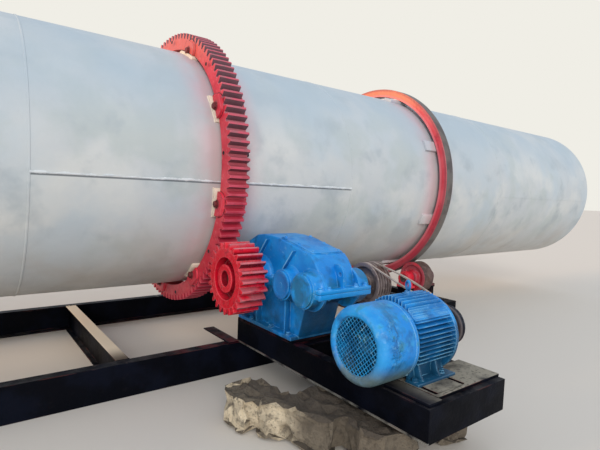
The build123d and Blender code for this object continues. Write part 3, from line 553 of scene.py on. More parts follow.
def sprayed_blue(name="sprayed_blue", motor=False):
    """Blue sprayed over castings: rubbed pale on edges and raised spots, with a painted highlight on the
    edges and the ribs, darker blotches below the split, and painted shade on the motor's sides and feet and
    under the near end wall.
    """
    coat = blue_coat(name, (10, 128, 210))
    if motor:
        # On the motor, darker down the sides and darker still at the feet: painted shade.
        coat.layer(coat.ramp("z", MOTOR.z + 0.20, MOTOR.z - 0.02), (30, 92, 132), 0.62)
        coat.layer(coat.ramp("z", MOTOR.z - 0.12, MOTOR.z - 0.20), (22, 74, 98), 0.70)
        coat.blotches(((8, 0.34, 0.56, 5, 51.0), (30, 108, 168), 0.66),
                      within=coat.ramp("z", MOTOR.z + 0.10, MOTOR.z + 0.24))
    coat.blotches(((26, 0.61, 0.74, 6, 9.0), (128, 186, 226), 0.5))
    face = coat.side()
    out = coat.spread(MIDDLE_Y, SPLIT_Z)
    rim = coat.times(face, coat.near("x", FLANGE_X[0] - BOSS_PAST, 0.004, 0.004),
                     coat.ramp("y", MIDDLE_Y + 0.01, MIDDLE_Y + 0.06), coat.fade(out, 0.100, 0.112))
    coat.blotches(((11, 0.40, 0.56, 5, 33.0), (150, 152, 184), 0.32), within=rim)
    # Pale blue on the ribs' outer faces: a painted highlight.
    rib = coat.times(coat.near("x", WALL_X[0] - 0.034, 0.004, 0.002),
                     coat.ramp("z", SPLIT_Z + 0.06, SPLIT_Z + 0.09), coat.side(0.2, 0.5))
    coat.layer(rib, (128, 196, 236), 0.75)
    blank = coat.times(face, coat.fade(out, 0.112, 0.104), coat.ramp("x", WALL_X[0], WALL_X[0] - 0.05))
    coat.layer(blank, (10, 104, 176), 0.55)
    oily = coat.fade(coat.spread(BIG_PULLEY.y, SPLIT_Z), 0.150, 0.125)
    coat.blotches(((8, 0.38, 0.58, 5, 37.0), (34, 96, 108), 0.6), within=oily)
    low = coat.ramp("z", SPLIT_Z - 0.02, SPLIT_Z - 0.30)
    coat.blotches(((5, 0.36, 0.60, 5, 15.0), (20, 72, 104), 0.7), within=low)
    # Darker on the near end wall below the split: painted shade.
    under = coat.times(coat.ramp("z", SPLIT_Z - 0.04, SPLIT_Z - 0.10), coat.looking("y", -0.45, -0.75))
    coat.layer(under, (12, 52, 80), 0.55)
    # Pale edges: rubbed paint and a painted highlight.
    coat.blotches(((9, 0.40, 0.56, 4, 12.0), (126, 196, 232), 0.7), within=coat.edges(0.005, 0.05, 0.42))
    coat.grain(70, 4, 6.0, 0.0010)
    return coat.done()


def scuffed_hood():
    """The fan hood's blue: scraped pale round the grille and on a dented patch, earth-grey underneath."""
    coat = blue_coat("scuffed_hood", (8, 130, 214))
    mouth = FAN[0].x
    ring = coat.times(coat.ramp("x", mouth + 0.050, mouth + 0.018),
                      coat.fade(coat.spread(MOTOR.y, MOTOR.z), 0.160, 0.172))
    coat.blotches(((7, 0.40, 0.60, 6, 31.0), (40, 156, 228), 0.7),
                  ((20, 0.60, 0.70, 6, 3.0), (120, 190, 228), 0.45), within=ring)
    patch = coat.times(coat.near("x", mouth + 0.10, 0.02, 0.05), coat.near("z", MOTOR.z + 0.06, 0.07, 0.10))
    coat.blotches(((34, 0.54, 0.64, 6, 5.0), (96, 178, 232), 0.6), within=patch)
    coat.blotches(((7, 0.52, 0.66, 6, 61.0), (18, 104, 150), 0.65),
                  ((10, 0.55, 0.68, 6, 67.0), (60, 172, 228), 0.5),
                  ((15, 0.58, 0.70, 6, 71.0), (52, 132, 140), 0.5))
    low = coat.ramp("z", MOTOR.z - 0.03, MOTOR.z - 0.17)
    coat.blotches(((5, 0.30, 0.52, 5, 41.0), (92, 108, 102), 0.85), within=low)
    # Pale edges: rubbed paint and a painted highlight.
    coat.layer(coat.edges(0.005, 0.05, 0.42), (140, 204, 236), 0.6)
    coat.rise(coat.times(patch, coat.cloud(24, 0.40, 0.66, 5, 5.0)), 0.012)
    coat.grain(5, 3, 6.0, 0.012)
    coat.grain(70, 4, 6.0, 0.0010)
    return coat.done()


def worn_belt():
    """Belt rubber: pale and dusty on the runs, dark where it wraps the small pulley."""
    coat = Coat("belt_rubber", (176, 164, 156), 0.7)
    coat.blotches(((9, 0.42, 0.62, 5, 1.0), (132, 120, 114), 0.7))
    coat.layer(coat.fade(coat.spread(SMALL_PULLEY.y, SMALL_PULLEY.z), 0.150, 0.138), (66, 58, 62), 0.9)
    coat.grain(80, 3, 2.0, 0.0005)
    return coat.done()


def broken_concrete():
    """Concrete: pale broken sides with coarse grain, painted shade on what faces up and past the near end."""
    coat = Coat("broken_concrete", (198, 183, 158), 0.92)
    coat.blotches(((6, 0.42, 0.62, 6, 1.0), (220, 204, 176), 0.9),
                  ((18, 0.50, 0.68, 6, 5.0), (112, 104, 92), 0.8),
                  ((60, 0.56, 0.70, 5, 9.0), (84, 78, 70), 0.7))
    # Darker on what faces up and past the near end, under the frame: painted shade.
    coat.layer(coat.looking("z", 0.30, 0.75), (70, 62, 54), 0.88)
    coat.layer(coat.ramp("x", BLOCKS[0].x + 0.206, BLOCKS[0].x + 0.306), (76, 68, 60), 0.84)
    coat.grain(14, 6, 2.0, 0.014)
    coat.grain(90, 5, 6.0, 0.004)
    return coat.done()


DRUM_PAINT = sprayed_drum()
RED = gloss_red()
RED_DARK = gloss_red("red_fastener", 0.2)
ROLLER_RED = gloss_red("roller_red", 1.0, chalky=True)
BEARING_RED = gloss_red("bearing_red", 0.5, painted_shade_past=RING.x)
GEAR_RED = gear_red()
PINION_RED = pinion_red()
RING_RED = ring_red()
BLACK = frame_black()
BLUE = sprayed_blue()
MOTOR_BLUE = sprayed_blue("motor_blue", motor=True)
HOOD_BLUE = scuffed_hood()
CONCRETE = broken_concrete()
BELT = worn_belt()
RING_STEEL = plain_steel("ring_steel", (86, 74, 76), (62, 54, 58), (132, 116, 116), 0.5, 0.42, 0.55)
SHAFT_STEEL = plain_steel("shaft_steel", (96, 88, 86), (60, 52, 50), (150, 142, 138), 0.5, 0.38, 0.7)
BARE_STEEL = plain_steel("bare_steel", (110, 104, 100), (84, 76, 72), (140, 134, 130), 0.7, 0.6, 0.4)
MOUNT_PLATE = plain_steel("mount_plate", (222, 208, 190), (202, 180, 168), (236, 226, 212), 0, 0.6, 0)
PULLEY_IRON = plain_steel("pulley_iron", (144, 130, 128), (94, 82, 80), (176, 160, 152), 0.45, 0.50, 0.2)
PULLEY_DARK = plain_steel("pulley_dark", (54, 58, 70), (30, 32, 40), (96, 98, 104), 0.2, 0.50, 0.3)
GREASY_BOLT = plain_steel("greasy_bolt", (112, 38, 42), (64, 24, 28), (158, 74, 76), 0.3, 0.45, 0, 26)
WELD = plain_steel("weld_bead", (214, 219, 222), (196, 203, 209), (228, 231, 232), 0, 0.6, 0, 20)
TREAD = plain_steel("roller_tread", (104, 80, 74), (70, 50, 48), (140, 118, 110), 0.5, 0.46, 0.3)
GRILLE_BLUE = plain_steel("grille_blue", (20, 150, 216), (8, 104, 164), (150, 208, 232), 0, 0.40, 0, 10)
FAN_BLUE = plain_steel("fan_blue", (4, 92, 136), (4, 54, 84), (70, 150, 130), 0, 0.60, 0, 6)
# The near-black of the gear's drilled holes: painted shade for their depth.
HOLE_SHADE = plain_steel("painted_hole_shade", (30, 34, 40), (18, 20, 24), (60, 64, 70), 0.2, 0.6, 0.1)

BY_SLOT = {
    "drum_paint": DRUM_PAINT,
    "red_paint": RED,
    "ring_steel": RING_STEEL,
    "bare_steel": BARE_STEEL,
    "mount_plate": MOUNT_PLATE,
    "pad_steel": DRUM_PAINT,
    "frame_paint": BLACK,
    "blue_paint": BLUE,
    "shaft_steel": SHAFT_STEEL,
    "pulley_iron": PULLEY_IRON,
    "belt_rubber": BELT,
    "concrete": CONCRETE,
}
BY_NODE = {
    "girth_gear": GEAR_RED,
    "riding_ring_right": RING_RED,
    "riding_ring_left": RING_RED,
    "roller_bearings_right": BEARING_RED,
}
slots = {part["node"]: part["material_slot"] for part in frame["record"]["subparts"]}
for name, thing in nodes.items():
    thing.data.materials.clear()
    thing.data.materials.append(BY_NODE.get(name, BY_SLOT[slots[name]]))


# Ways of making a piece


def settle(mesh, name, material, body, stands_for=(), angle=32, slot=None):
    """Turns a working mesh into a finished piece that moves with a body."""
    bmesh.ops.remove_doubles(mesh, verts=mesh.verts, dist=0.00002)
    bmesh.ops.dissolve_degenerate(mesh, dist=0.00001, edges=mesh.edges)
    bmesh.ops.recalc_face_normals(mesh, faces=mesh.faces)
    data = bpy.data.meshes.new(name)
    mesh.to_mesh(data)
    mesh.free()
    data.shade_smooth()
    data.set_sharp_from_angle(angle=math.radians(angle))
    for each in material if isinstance(material, tuple) else (material,):
        data.materials.append(each)
    thing = bpy.data.objects.new(name, data)
    bpy.context.scene.collection.objects.link(thing)
    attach(thing, body)
    for node in stands_for:
        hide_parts(node)
        slot = slot or slots[node]


def added(mesh, before):
    """The vertices made since a set of them was kept."""
    return [vert for vert in mesh.verts if vert not in before]


def round_edges(mesh, verts, width, segments=2, least=25):
    """Rounds the edges among some vertices that bend by more than least degrees."""
    inside = set(verts)
    edges = []
    for edge in mesh.edges:
        if edge.verts[0] in inside and edge.verts[1] in inside and len(edge.link_faces) == 2:
            if edge.calc_face_angle(0) > math.radians(least):
                edges.append(edge)
    if edges and width:
        bmesh.ops.bevel(mesh, geom=edges, offset=width, segments=segments, profile=0.5, affect="EDGES",
                        material=-1, clamp_overlap=True, offset_type="OFFSET")


def bar(mesh, x, y, z, width=0.003, segments=2):
    """A squared piece between two limits on each axis, its edges rounded."""
    size = [high - low for low, high in (x, y, z)]
    middle = [(low + high) / 2 for low, high in (x, y, z)]
    place = Matrix.Translation(middle) @ Matrix.Diagonal((*size, 1))
    verts = bmesh.ops.create_cube(mesh, size=1, matrix=place)["verts"]
    before = set(mesh.verts) - set(verts)
    round_edges(mesh, verts, width, segments)
    return added(mesh, before)


def turn(mesh, profile, y, z, steps):
    """A closed profile of (x, radius) points turned about an axis along X."""
    before = set(mesh.verts)
    verts = [mesh.verts.new((x, y, z + radius)) for x, radius in profile]
    edges = [mesh.edges.new((verts[i], verts[(i + 1) % len(verts)])) for i in range(len(verts))]
    bmesh.ops.spin(mesh, geom=verts + edges, cent=(0, y, z), axis=(1, 0, 0), angle=2 * math.pi, steps=steps,
                   use_merge=True)
    return added(mesh, before)


def placed(points, start, way=1):
    """Points whose first number is a reach from a start, along way."""
    return [(start + way * reach, other) for reach, other in points]


def cut_out(mesh, points, x, width=0.0, segments=2, holes=(), least=25):
    """A closed outline of (y, z) points, with round holes, drawn out along X."""
    before = set(mesh.verts)
    edges = []
    loops = [points]
    for y, z, radius in holes:
        steps = [2 * math.pi * index / 20 for index in range(20)]
        loops.append([(y + radius * math.cos(angle), z + radius * math.sin(angle)) for angle in steps])
    for loop in loops:
        verts = [mesh.verts.new((x[0], y, z)) for y, z in loop]
        edges += [mesh.edges.new((verts[i - 1], verts[i])) for i in range(len(verts))]
    if holes:
        faces = [made for made in bmesh.ops.triangle_fill(mesh, edges=edges, use_beauty=True)["geom"]
                 if isinstance(made, bmesh.types.BMFace)]
    else:
        faces = bmesh.ops.contextual_create(mesh, geom=edges)["faces"]
    grown = bmesh.ops.extrude_face_region(mesh, geom=faces, use_keep_orig=True)["geom"]
    ends = [made for made in grown if isinstance(made, bmesh.types.BMVert)]
    bmesh.ops.translate(mesh, verts=ends, vec=(x[1] - x[0], 0, 0))
    verts = added(mesh, before)
    faces = {face for vert in verts for face in vert.link_faces}
    bmesh.ops.recalc_face_normals(mesh, faces=list(faces))
    round_edges(mesh, verts, width, segments, least)
    return added(mesh, before)


def slab(mesh, y, z, x, width, segments=2):
    """A plate between two limits on y and z, drawn out along X, its edges rounded."""
    return cut_out(mesh, [(y[0], z[0]), (y[1], z[0]), (y[1], z[1]), (y[0], z[1])], x, width, segments)


def carry(mesh, verts, matrix):
    """Moves or turns some vertices."""
    bmesh.ops.transform(mesh, matrix=matrix, verts=verts)


def about(angle, y, z):
    """A turn about an axis along X, in degrees."""
    away = Matrix.Translation((0, y, z))
    return away @ Matrix.Rotation(math.radians(angle), 4, "X") @ Matrix.Translation((0, -y, -z))


def peg(mesh, stand, low, high, depth, segments):
    """A round or many-sided peg, its middle at a stand, with a radius at each end."""
    return bmesh.ops.create_cone(mesh, cap_ends=True, segments=segments, radius1=low, radius2=high,
                                 depth=depth, matrix=stand)["verts"]


def head(mesh, across, rise, place, way, washer=True, turned=0.0):
    """A hexagon bolt head with a chamfered top on a washer, its seat at place, pointing along way."""
    stand = Vector(way).to_track_quat("Z", "Y").to_matrix().to_4x4()
    here = Matrix.Translation(place) @ stand @ Matrix.Rotation(turned, 4, "Z")
    lift = rise * 0.16 if washer else 0.0
    disc = []
    if washer:
        disc = peg(mesh, here @ Matrix.Translation((0, 0, lift / 2)), across * 1.28, across * 1.2, lift, 20)
    body = peg(mesh, here @ Matrix.Translation((0, 0, lift + rise * 0.36)), across, across, rise * 0.72, 6)
    crown = Matrix.Translation((0, 0, lift + rise * 0.80))
    return body + peg(mesh, here @ crown, across, across * 0.78, rise * 0.16, 6) + disc


def pipe_run(mesh, places, radii, sides=8, closed=False):
    """A round run through places, of its own radius at each: weld beads, rods and rings."""
    loops = []
    count = len(places)
    for index, (place, radius) in enumerate(zip(places, radii)):
        after = places[(index + 1) % count] if closed or index < count - 1 else place
        prior = places[index - 1] if closed or index > 0 else place
        way = (Vector(after) - Vector(prior)).normalized()
        here = Matrix.Translation(place) @ way.to_track_quat("Z", "Y").to_matrix().to_4x4()
        made = bmesh.ops.create_circle(mesh, cap_ends=False, segments=sides, radius=radius, matrix=here)
        loops.append(list({edge for vert in made["verts"] for edge in vert.link_edges}))
    for index in range(count if closed else count - 1):
        bmesh.ops.bridge_loops(mesh, edges=loops[index] + loops[(index + 1) % count])
    if not closed:
        bmesh.ops.holes_fill(mesh, edges=loops[0], sides=sides)
        bmesh.ops.holes_fill(mesh, edges=loops[-1], sides=sides)


def ripple(place, size, scale, seed=0.0):
    """An uneven size along a run."""
    return size * (1 + 0.38 * noise.noise(Vector(place) * scale + Vector((seed, seed, 0))))


def bead(mesh, places, size, scale, seed=0.0, closed=False):
    """An uneven weld bead through places."""
    pipe_run(mesh, places, [ripple(place, size, scale, seed) for place in places], 6, closed)


def soften(node, width, angle=28):
    """Worn, rounded edges on a piece of the frame."""
    thing = nodes[node]
    join = thing.modifiers.new("join", "WELD")
    join.merge_threshold = 0.0001
    wear = thing.modifiers.new("wear", "BEVEL")
    wear.width = width
    wear.segments = 2
    wear.limit_method = "ANGLE"
    wear.angle_limit = math.radians(angle)
    wear.harden_normals = False
    wear.miter_outer = "MITER_ARC"


# The drum, its gear and its rings


def on_drum(x, angle, out):
    """A place out metres off the drum's skin, at an angle from the top."""
    return x, (DRUM_R + out) * math.sin(angle), DRUM.z + (DRUM_R + out) * math.cos(angle)


def long_weld():
    """The uneven weld bead along the drum's near side, between two of its joints."""
    mesh = bmesh.new()
    places = []
    sizes = []
    steps = 340
    for index in range(steps + 1):
        x = SEAM_X[0] + COURSE * index / steps
        place = on_drum(x, -math.radians(SEAM_TURN), SEAM_OUT)
        sway = 0.0050 * noise.noise(Vector((x * 7, 0, 4))) + 0.0020 * noise.noise(Vector((x * 31, 2, 4)))
        places.append((x, place[1] - 0.001, place[2] + sway))
        sizes.append(ripple(place, 0.0112, 14.0) + 0.0005 * math.sin(index * 1.9))
    pipe_run(mesh, places, sizes, 8)
    settle(mesh, "long_weld", WELD, "drum", slot="drum_paint", angle=60)


def ring_weld(name, x):
    """The bead round the drum at one of its joints."""
    mesh = bmesh.new()
    places = []
    count = 260
    radius = DRUM_R + SEAM_OUT
    for index in range(count):
        angle = 2 * math.pi * index / count
        sway = 0.003 * noise.noise(Vector((math.cos(angle) * 7, math.sin(angle) * 7, x)))
        places.append((x + sway, radius * math.cos(angle), DRUM.z + radius * math.sin(angle)))
    bead(mesh, places, 0.0075, 14.0, x, closed=True)
    settle(mesh, name, DRUM_PAINT, "drum", slot="drum_paint", angle=60)


def gear_seats():
    """The pale blocks that carry the gear, wider at one end, with a weld along each side of the foot."""
    mesh = bmesh.new()
    low, high = MOUNTS[0].x + 0.032, MOUNTS[1].x - 0.032
    half = 0.120
    flare = 0.011
    steps = 10
    wide = math.asin(half / DRUM_R)
    foot_wide = math.asin((half + 0.002) / DRUM_R)
    for turned in MOUNT_TURNS:
        points = []
        for index in range(steps + 1):
            angle = wide * (1 - 2 * index / steps)
            rise = MOUNT_R - (0.010 if index in (0, steps) else 0)
            points.append((rise * math.sin(angle), DRUM.z + rise * math.cos(angle)))
        points += [on_drum(0, wide * (2 * index / steps - 1), -0.001)[1:] for index in range(steps + 1)]
        block = cut_out(mesh, points, (low, high), 0.005, 2, least=40)
        for vert in block:
            vert.co.x += flare * vert.co.y / half * (-1 if vert.co.x < GEAR.x else 1)
        carry(mesh, block, about(turned, 0, DRUM.z))
        for x, way in ((low, -1), (high, 1)):
            before = set(mesh.verts)
            places = [on_drum(x, foot_wide * (1 - index / 12), 0.002) for index in range(25)]
            places = [(x + flare * y / half * way, y, z) for x, y, z in places]
            bead(mesh, places, 0.0075, 30.0, turned)
            carry(mesh, added(mesh, before), about(turned, 0, DRUM.z))
    settle(mesh, "gear_seats", MOUNT_PLATE, "drum", ["gear_mounts"])


def gear_fasteners():
    """The big bolts on the gear's bosses, and their ears."""
    mesh = bmesh.new()
    left, right = (corner.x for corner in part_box("girth_gear"))
    for turned in MOUNT_TURNS:
        made = []
        for x, way in ((left, -1), (right, 1)):
            place = (x, 0, DRUM.z + MOUNT_R + 0.020)
            made += head(mesh, 0.027, 0.024, place, (way, 0, 0), turned=turned)
        for x in ((left + 0.006, left + 0.021), (right - 0.021, right - 0.006)):
            ear = (DRUM.z + MOUNT_R - 0.012, DRUM.z + MOUNT_R + 0.004)
            made += bar(mesh, x, (-0.030, 0.030), ear, 0.004)
        carry(mesh, made, about(turned, 0, DRUM.z))
    settle(mesh, "gear_bolts", GREASY_BOLT, "drum", slot="red_paint")


def gear_holes():
    """The drilled holes in the gear's sides, midway between its bosses: low rims round dark discs, the dark a
    painted shade for the holes' depth.
    """
    mesh = bmesh.new()
    left, right = (corner.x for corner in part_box("girth_gear"))
    lip = [(0.0004, 0.003), (0.0006, 0.011), (0.0020, 0.0125), (0.0022, 0.014), (0, 0.0155), (-0.002, 0.003)]
    for turned in MOUNT_TURNS:
        made = []
        for face, way in ((left, -1), (right, 1)):
            made += turn(mesh, placed(lip, face, way), 0.0, DRUM.z + GEAR_ROOT - 0.026, 20)
        carry(mesh, made, about(turned + 20, 0, DRUM.z))
    settle(mesh, "gear_drillings", HOLE_SHADE, "drum", slot="red_paint")


def split_bolts():
    """The bolts that join the gear's two halves at its flanges."""
    mesh = bmesh.new()
    x0, x1 = GEAR.x - 0.0875, GEAR.x + 0.0875
    middle = DRUM.z + (MOUNT_R + 0.0405)
    for turned in SPLIT_TURNS:
        made = []
        for hand in (-1, 1):
            for face, way in ((x0, 1), (x1, -1)):
                x = face + way * 0.019
                made += head(mesh, 0.017, 0.018, (x, hand * 0.023, middle), (0, hand, 0), turned=face)
                stand = Matrix.Translation((x, hand * 0.041, middle)) @ Matrix.Rotation(math.pi / 2, 4, "X")
                made += peg(mesh, stand, 0.009, 0.008, 0.02, 14)
        carry(mesh, made, about(turned, 0, DRUM.z))
    settle(mesh, "split_bolts", RED_DARK, "drum", slot="red_paint")


def ring_pads(side):
    """The pads under one riding ring, their ends rounded, with weld beads round their feet."""
    mesh = bmesh.new()
    low, high = (corner.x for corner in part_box(f"ring_pads_{side}"))
    low += 0.030
    high -= 0.030
    half = 0.064
    skin = DRUM.z + DRUM_R
    for index in range(8):
        turned = 22.5 + 45 * index
        before = set(mesh.verts)
        points = [(-half, skin - 0.006), (half, skin - 0.006), (half - 0.003, skin + 0.036)]
        points += [(half / 2, skin + 0.039), (-half / 2, skin + 0.039), (-half + 0.003, skin + 0.036)]
        cut_out(mesh, points, (low, high), 0.005, 2, least=30)
        for hand in (-1, 1):
            angle = math.asin((half + 0.0015) / DRUM_R) * hand
            places = [on_drum(low + (high - low) * step / 30, angle, 0.002) for step in range(31)]
            bead(mesh, places, 0.007, 24.0, turned)
        for x in (low, high):
            angle = math.asin(half / DRUM_R)
            bead(mesh, [on_drum(x, angle * (1 - step / 5), 0.002) for step in range(11)], 0.007, 24.0, turned)
        carry(mesh, added(mesh, before), about(turned, 0, DRUM.z))
    settle(mesh, f"ring_pads_and_welds_{side}", DRUM_PAINT, "drum", [f"ring_pads_{side}"])


# The pinion


def tooth_face(teeth, module):
    """Half the outline of one involute tooth, as (turn, radius) from its middle, root first."""
    pitch = module * teeth / 2
    pressure = math.radians(20)
    base = pitch * math.cos(pressure)
    tip = pitch + module
    root = pitch - 1.25 * module
    half = math.pi / (2 * teeth) - 0.0006 / pitch
    start = max(base, root + 0.25 * module)
    involute = math.tan(pressure) - pressure
    flank = []
    for index in range(7):
        radius = start + (tip - start) * index / 6
        angle = math.acos(min(1, base / radius))
        flank.append((half + involute - (math.tan(angle) - angle), radius))
    widest = flank[0][0]
    floor = math.pi / teeth
    fillet = [(1, 0), (0.55, 0), (0.22, 0.03), (0.05, 0.12)]
    return [(widest + (floor - widest) * share, root + lift * module) for share, lift in fillet] + flank


def toothed_wheel(mesh, teeth, module, inner, x, y, z, phase, chamfer):
    """A ring of teeth, one modelled and turned round, over a plain bore."""
    before = set(mesh.verts)
    half = tooth_face(teeth, module)
    outline = [(-turned, radius) for turned, radius in half] + half[::-1]
    bore = [(turned, inner) for turned in (half[0][0], 0.0, -half[0][0])]
    sides = []
    for side in x:
        rows = []
        for run in (outline, bore):
            spots = [(side, y + r * math.cos(phase + t), z + r * math.sin(phase + t)) for t, r in run]
            rows.append([mesh.verts.new(spot) for spot in spots])
        mesh.faces.new(rows[0] + rows[1])
        sides.append(rows)
    for first, second in zip(*sides):
        for index in range(len(first) - 1):
            mesh.faces.new((first[index], first[index + 1], second[index + 1], second[index]))
    made = added(mesh, before)
    faces = list({face for vert in made for face in vert.link_faces})
    bmesh.ops.spin(mesh, geom=made + faces, cent=(0, y, z), axis=(1, 0, 0),
                   angle=2 * math.pi * (teeth - 1) / teeth, steps=teeth - 1, use_duplicate=True)
    bmesh.ops.remove_doubles(mesh, verts=added(mesh, before), dist=0.00008)
    made = added(mesh, before)
    faces = list({face for vert in made for face in vert.link_faces})
    bmesh.ops.recalc_face_normals(mesh, faces=faces)
    round_edges(mesh, made, chamfer, 2, 34)


def pinion_wheel():
    """The pinion: chamfered teeth, a dished web and a turned hub with a bore."""
    mesh = bmesh.new()
    x0, x1 = (corner.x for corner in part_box("pinion"))
    y, z = PINION.y, PINION.z
    mesh_line = math.atan2(DRUM.z - z, -y)
    rim = PINION_ROOT - 0.002
    toothed_wheel(mesh, PINION_TEETH, MODULE, rim, (x0, x1), y, z, mesh_line + math.pi / PINION_TEETH, 0.0022)
    bore = radius_of("output_shaft") + 0.0006
    hub = 0.112
    web = rim - 0.066
    profile = [(0.0005, rim + 0.001), (0.0005, web + 0.003), (0.003, web), (0.060, web - 0.004),
               (0.072, web - 0.012), (0.072, hub + 0.014), (0.062, hub + 0.004), (0.005, hub),
               (0, hub - 0.005), (0, bore + 0.004), (0.004, bore)]
    turn(mesh, placed(profile, x0) + placed(profile[::-1], x1, -1), y, z, 72)
    settle(mesh, "pinion_wheel", PINION_RED, "pinion_set", ["pinion"], angle=36)


def output_shaft_end():
    """The shaft's end in the pinion, with its key."""
    mesh = bmesh.new()
    low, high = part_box("output_shaft")
    radius = radius_of("output_shaft")
    y, z = PINION.y, PINION.z
    end = low.x + 0.030
    near = [(0, 0.006), (0, radius - 0.004), (0.004, radius)]
    turn(mesh, placed(near, end) + [(high.x, radius), (high.x, 0.006)], y, z, 48)
    key = (z + radius - 0.012, z + radius + 0.0004)
    bar(mesh, (low.x + 0.012, low.x + 0.10), (y - 0.009, y + 0.009), key, 0.0015)
    settle(mesh, "output_shaft_end", SHAFT_STEEL, "pinion_set", ["output_shaft"])


# The rollers


def roller_wheel(end, side):
    """One support roller: a rounded tread, dished sides and a long hub."""
    mesh = bmesh.new()
    node = f"roller_{end}_{side}"
    middle = centre(node)
    tip = radius_of(node)
    bore = radius_of(f"roller_shaft_{end}_{side}") + 0.0004
    half = 0.085
    hub = 0.088
    rim = tip - 0.038
    profile = [(-0.022, bore), (-0.022, hub - 0.014), (-0.019, hub - 0.009), (0, hub), (0.024, hub + 0.004),
               (0.030, hub + 0.012), (0.030, rim - 0.012), (0.024, rim - 0.004), (0.003, rim),
               (0, rim + 0.003), (0, tip - 0.007), (0.002, tip - 0.002), (0.007, tip)]
    outline = placed(profile, middle.x - half) + placed(profile[::-1], middle.x + half, -1)
    turn(mesh, outline, middle.y, middle.z, 72)
    for face in mesh.faces:
        spot = face.calc_center_median() - middle
        face.material_index = int(math.hypot(spot.y, spot.z) > tip - 0.003)
    settle(mesh, f"roller_wheel_{end}_{side}", (ROLLER_RED, TREAD), f"roller_set_{end}_{side}", [node])


def bearing_trim(end):
    """Covers, their bolts and grease nipples on one end's four pillow blocks."""
    mesh = bmesh.new()
    low, high = (corner.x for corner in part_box(f"roller_bearings_{end}"))
    for side in ("near", "far"):
        shaft = f"roller_shaft_{end}_{side}"
        y, z = centre(shaft).yz
        bore = radius_of(shaft) + 0.0008
        ring = [(0, bore), (0, 0.070), (0.004, 0.070), (0.006, 0.067), (0.006, bore + 0.010), (0.004, bore)]
        for x, way in ((low, -1), (low + 0.100, 1), (high - 0.100, -1), (high, 1)):
            turn(mesh, placed(ring, x, way), y, z, 36)
            for index in range(4):
                turned = math.radians(45 + 90 * index)
                place = (x + way * 0.006, y + 0.059 * math.cos(turned), z + 0.059 * math.sin(turned))
                head(mesh, 0.006, 0.005, place, (way, 0, 0), washer=False)
        for x in (low + 0.05, high - 0.05):
            peg(mesh, Matrix.Translation((x, y, z + 0.086)), 0.006, 0.004, 0.014, 10)
    settle(mesh, f"bearing_trim_{end}", BEARING_RED, "frame", slot="red_paint")


# The belt drive


def pulley_wheel(name, node, shaft, body, hub, iron):
    """A grooved pulley with rounded lands, a dished web and a hub."""
    mesh = bmesh.new()
    x0, x1 = (corner.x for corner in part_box(node))
    middle = centre(node)
    tip = radius_of(node)
    bore = radius_of(shaft) + 0.0005
    rim = tip - 0.031
    groove = [(-0.0105, tip), (-0.0093, tip - 0.0012), (-0.0062, tip - 0.0165), (0.0062, tip - 0.0165),
              (0.0093, tip - 0.0012), (0.0105, tip)]
    edge = [(0.001, rim), (0, rim + 0.002), (0, tip - 0.003), (0.003, tip)]
    web = [(0.040, rim - 0.003), (0.046, rim - 0.010), (0.046, hub + 0.008), (0.040, hub)]
    boss = [(0.003, hub - 0.002), (0, hub - 0.005), (0, bore)]
    outline = placed(edge, x0)
    for index in range(GROOVES):
        outline += placed(groove, middle.x + GROOVE_PITCH * (index - GROOVES // 2))
    outline += placed(edge[::-1] + web + boss, x1, -1)
    outline += placed(boss[::-1], x0 + 0.012) + placed(web[::-1], x0)
    turn(mesh, outline, middle.y, middle.z, 80)
    settle(mesh, name, iron, body, [node])


def belts():
    """Two V belts, each a closed loop of a tapered section round both pulleys."""
    mesh = bmesh.new()
    big, small = radius_of("input_pulley"), radius_of("motor_pulley")
    first, second = BIG_PULLEY, SMALL_PULLEY
    lean = math.atan2(second.z - first.z, second.y - first.y)
    gap = math.hypot(second.z - first.z, second.y - first.y)
    wrap = math.acos((big - small) / gap)
    section = ((-0.0084, 0.0), (0.0084, 0.0), (0.0064, -0.0105), (-0.0064, -0.0105))
    for groove in (0, 3):
        x = first.x + GROOVE_PITCH * (groove - GROOVES // 2)
        track = [(first, big, lean + wrap + (2 * math.pi - 2 * wrap) * index / 32) for index in range(33)]
        track += [(None, index / 12, lean - wrap) for index in range(1, 12)]
        track += [(second, small, lean - wrap + 2 * wrap * index / 32) for index in range(33)]
        track += [(None, 1 - index / 12, lean + wrap) for index in range(1, 12)]
        loops = []
        for middle, size, angle in track:
            out = Vector((0, math.cos(angle), math.sin(angle)))
            if middle is None:
                sag = (-0.028 if groove and angle < lean else 0.008) * math.sin(math.pi * size)
                base = first.lerp(second, size) + out * (big + (small - big) * size) - Vector((0, 0, sag))
            else:
                base = middle + out * size
            spots = [(x + aside, *(base + out * (drop + 0.0008)).yz) for aside, drop in section]
            verts = [mesh.verts.new(spot) for spot in spots]
            loops.append([mesh.edges.new((verts[i - 1], verts[i])) for i in range(4)])
        for index in range(len(loops)):
            bmesh.ops.bridge_loops(mesh, edges=loops[index - 1] + loops[index])
    settle(mesh, "v_belts", BELT, "frame", ["drive_belts"], angle=40)


# The frames and the rubble


def frame_welds():
    """Weld beads where the cross members meet the main beams' webs."""
    mesh = bmesh.new()
    top = NEAR_BEAM[1].z + 0.0005
    for x in CROSS_PLACES:
        for y in (NEAR_BEAM[1].y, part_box("main_beam_far")[0].y):
            for side in (-CROSS_HALF, CROSS_HALF):
                bead(mesh, [(x + side * (1 - step / 6), y, top) for step in range(7)], 0.0045, 60.0)
    settle(mesh, "frame_welds", BLACK, "frame", slot="frame_paint")


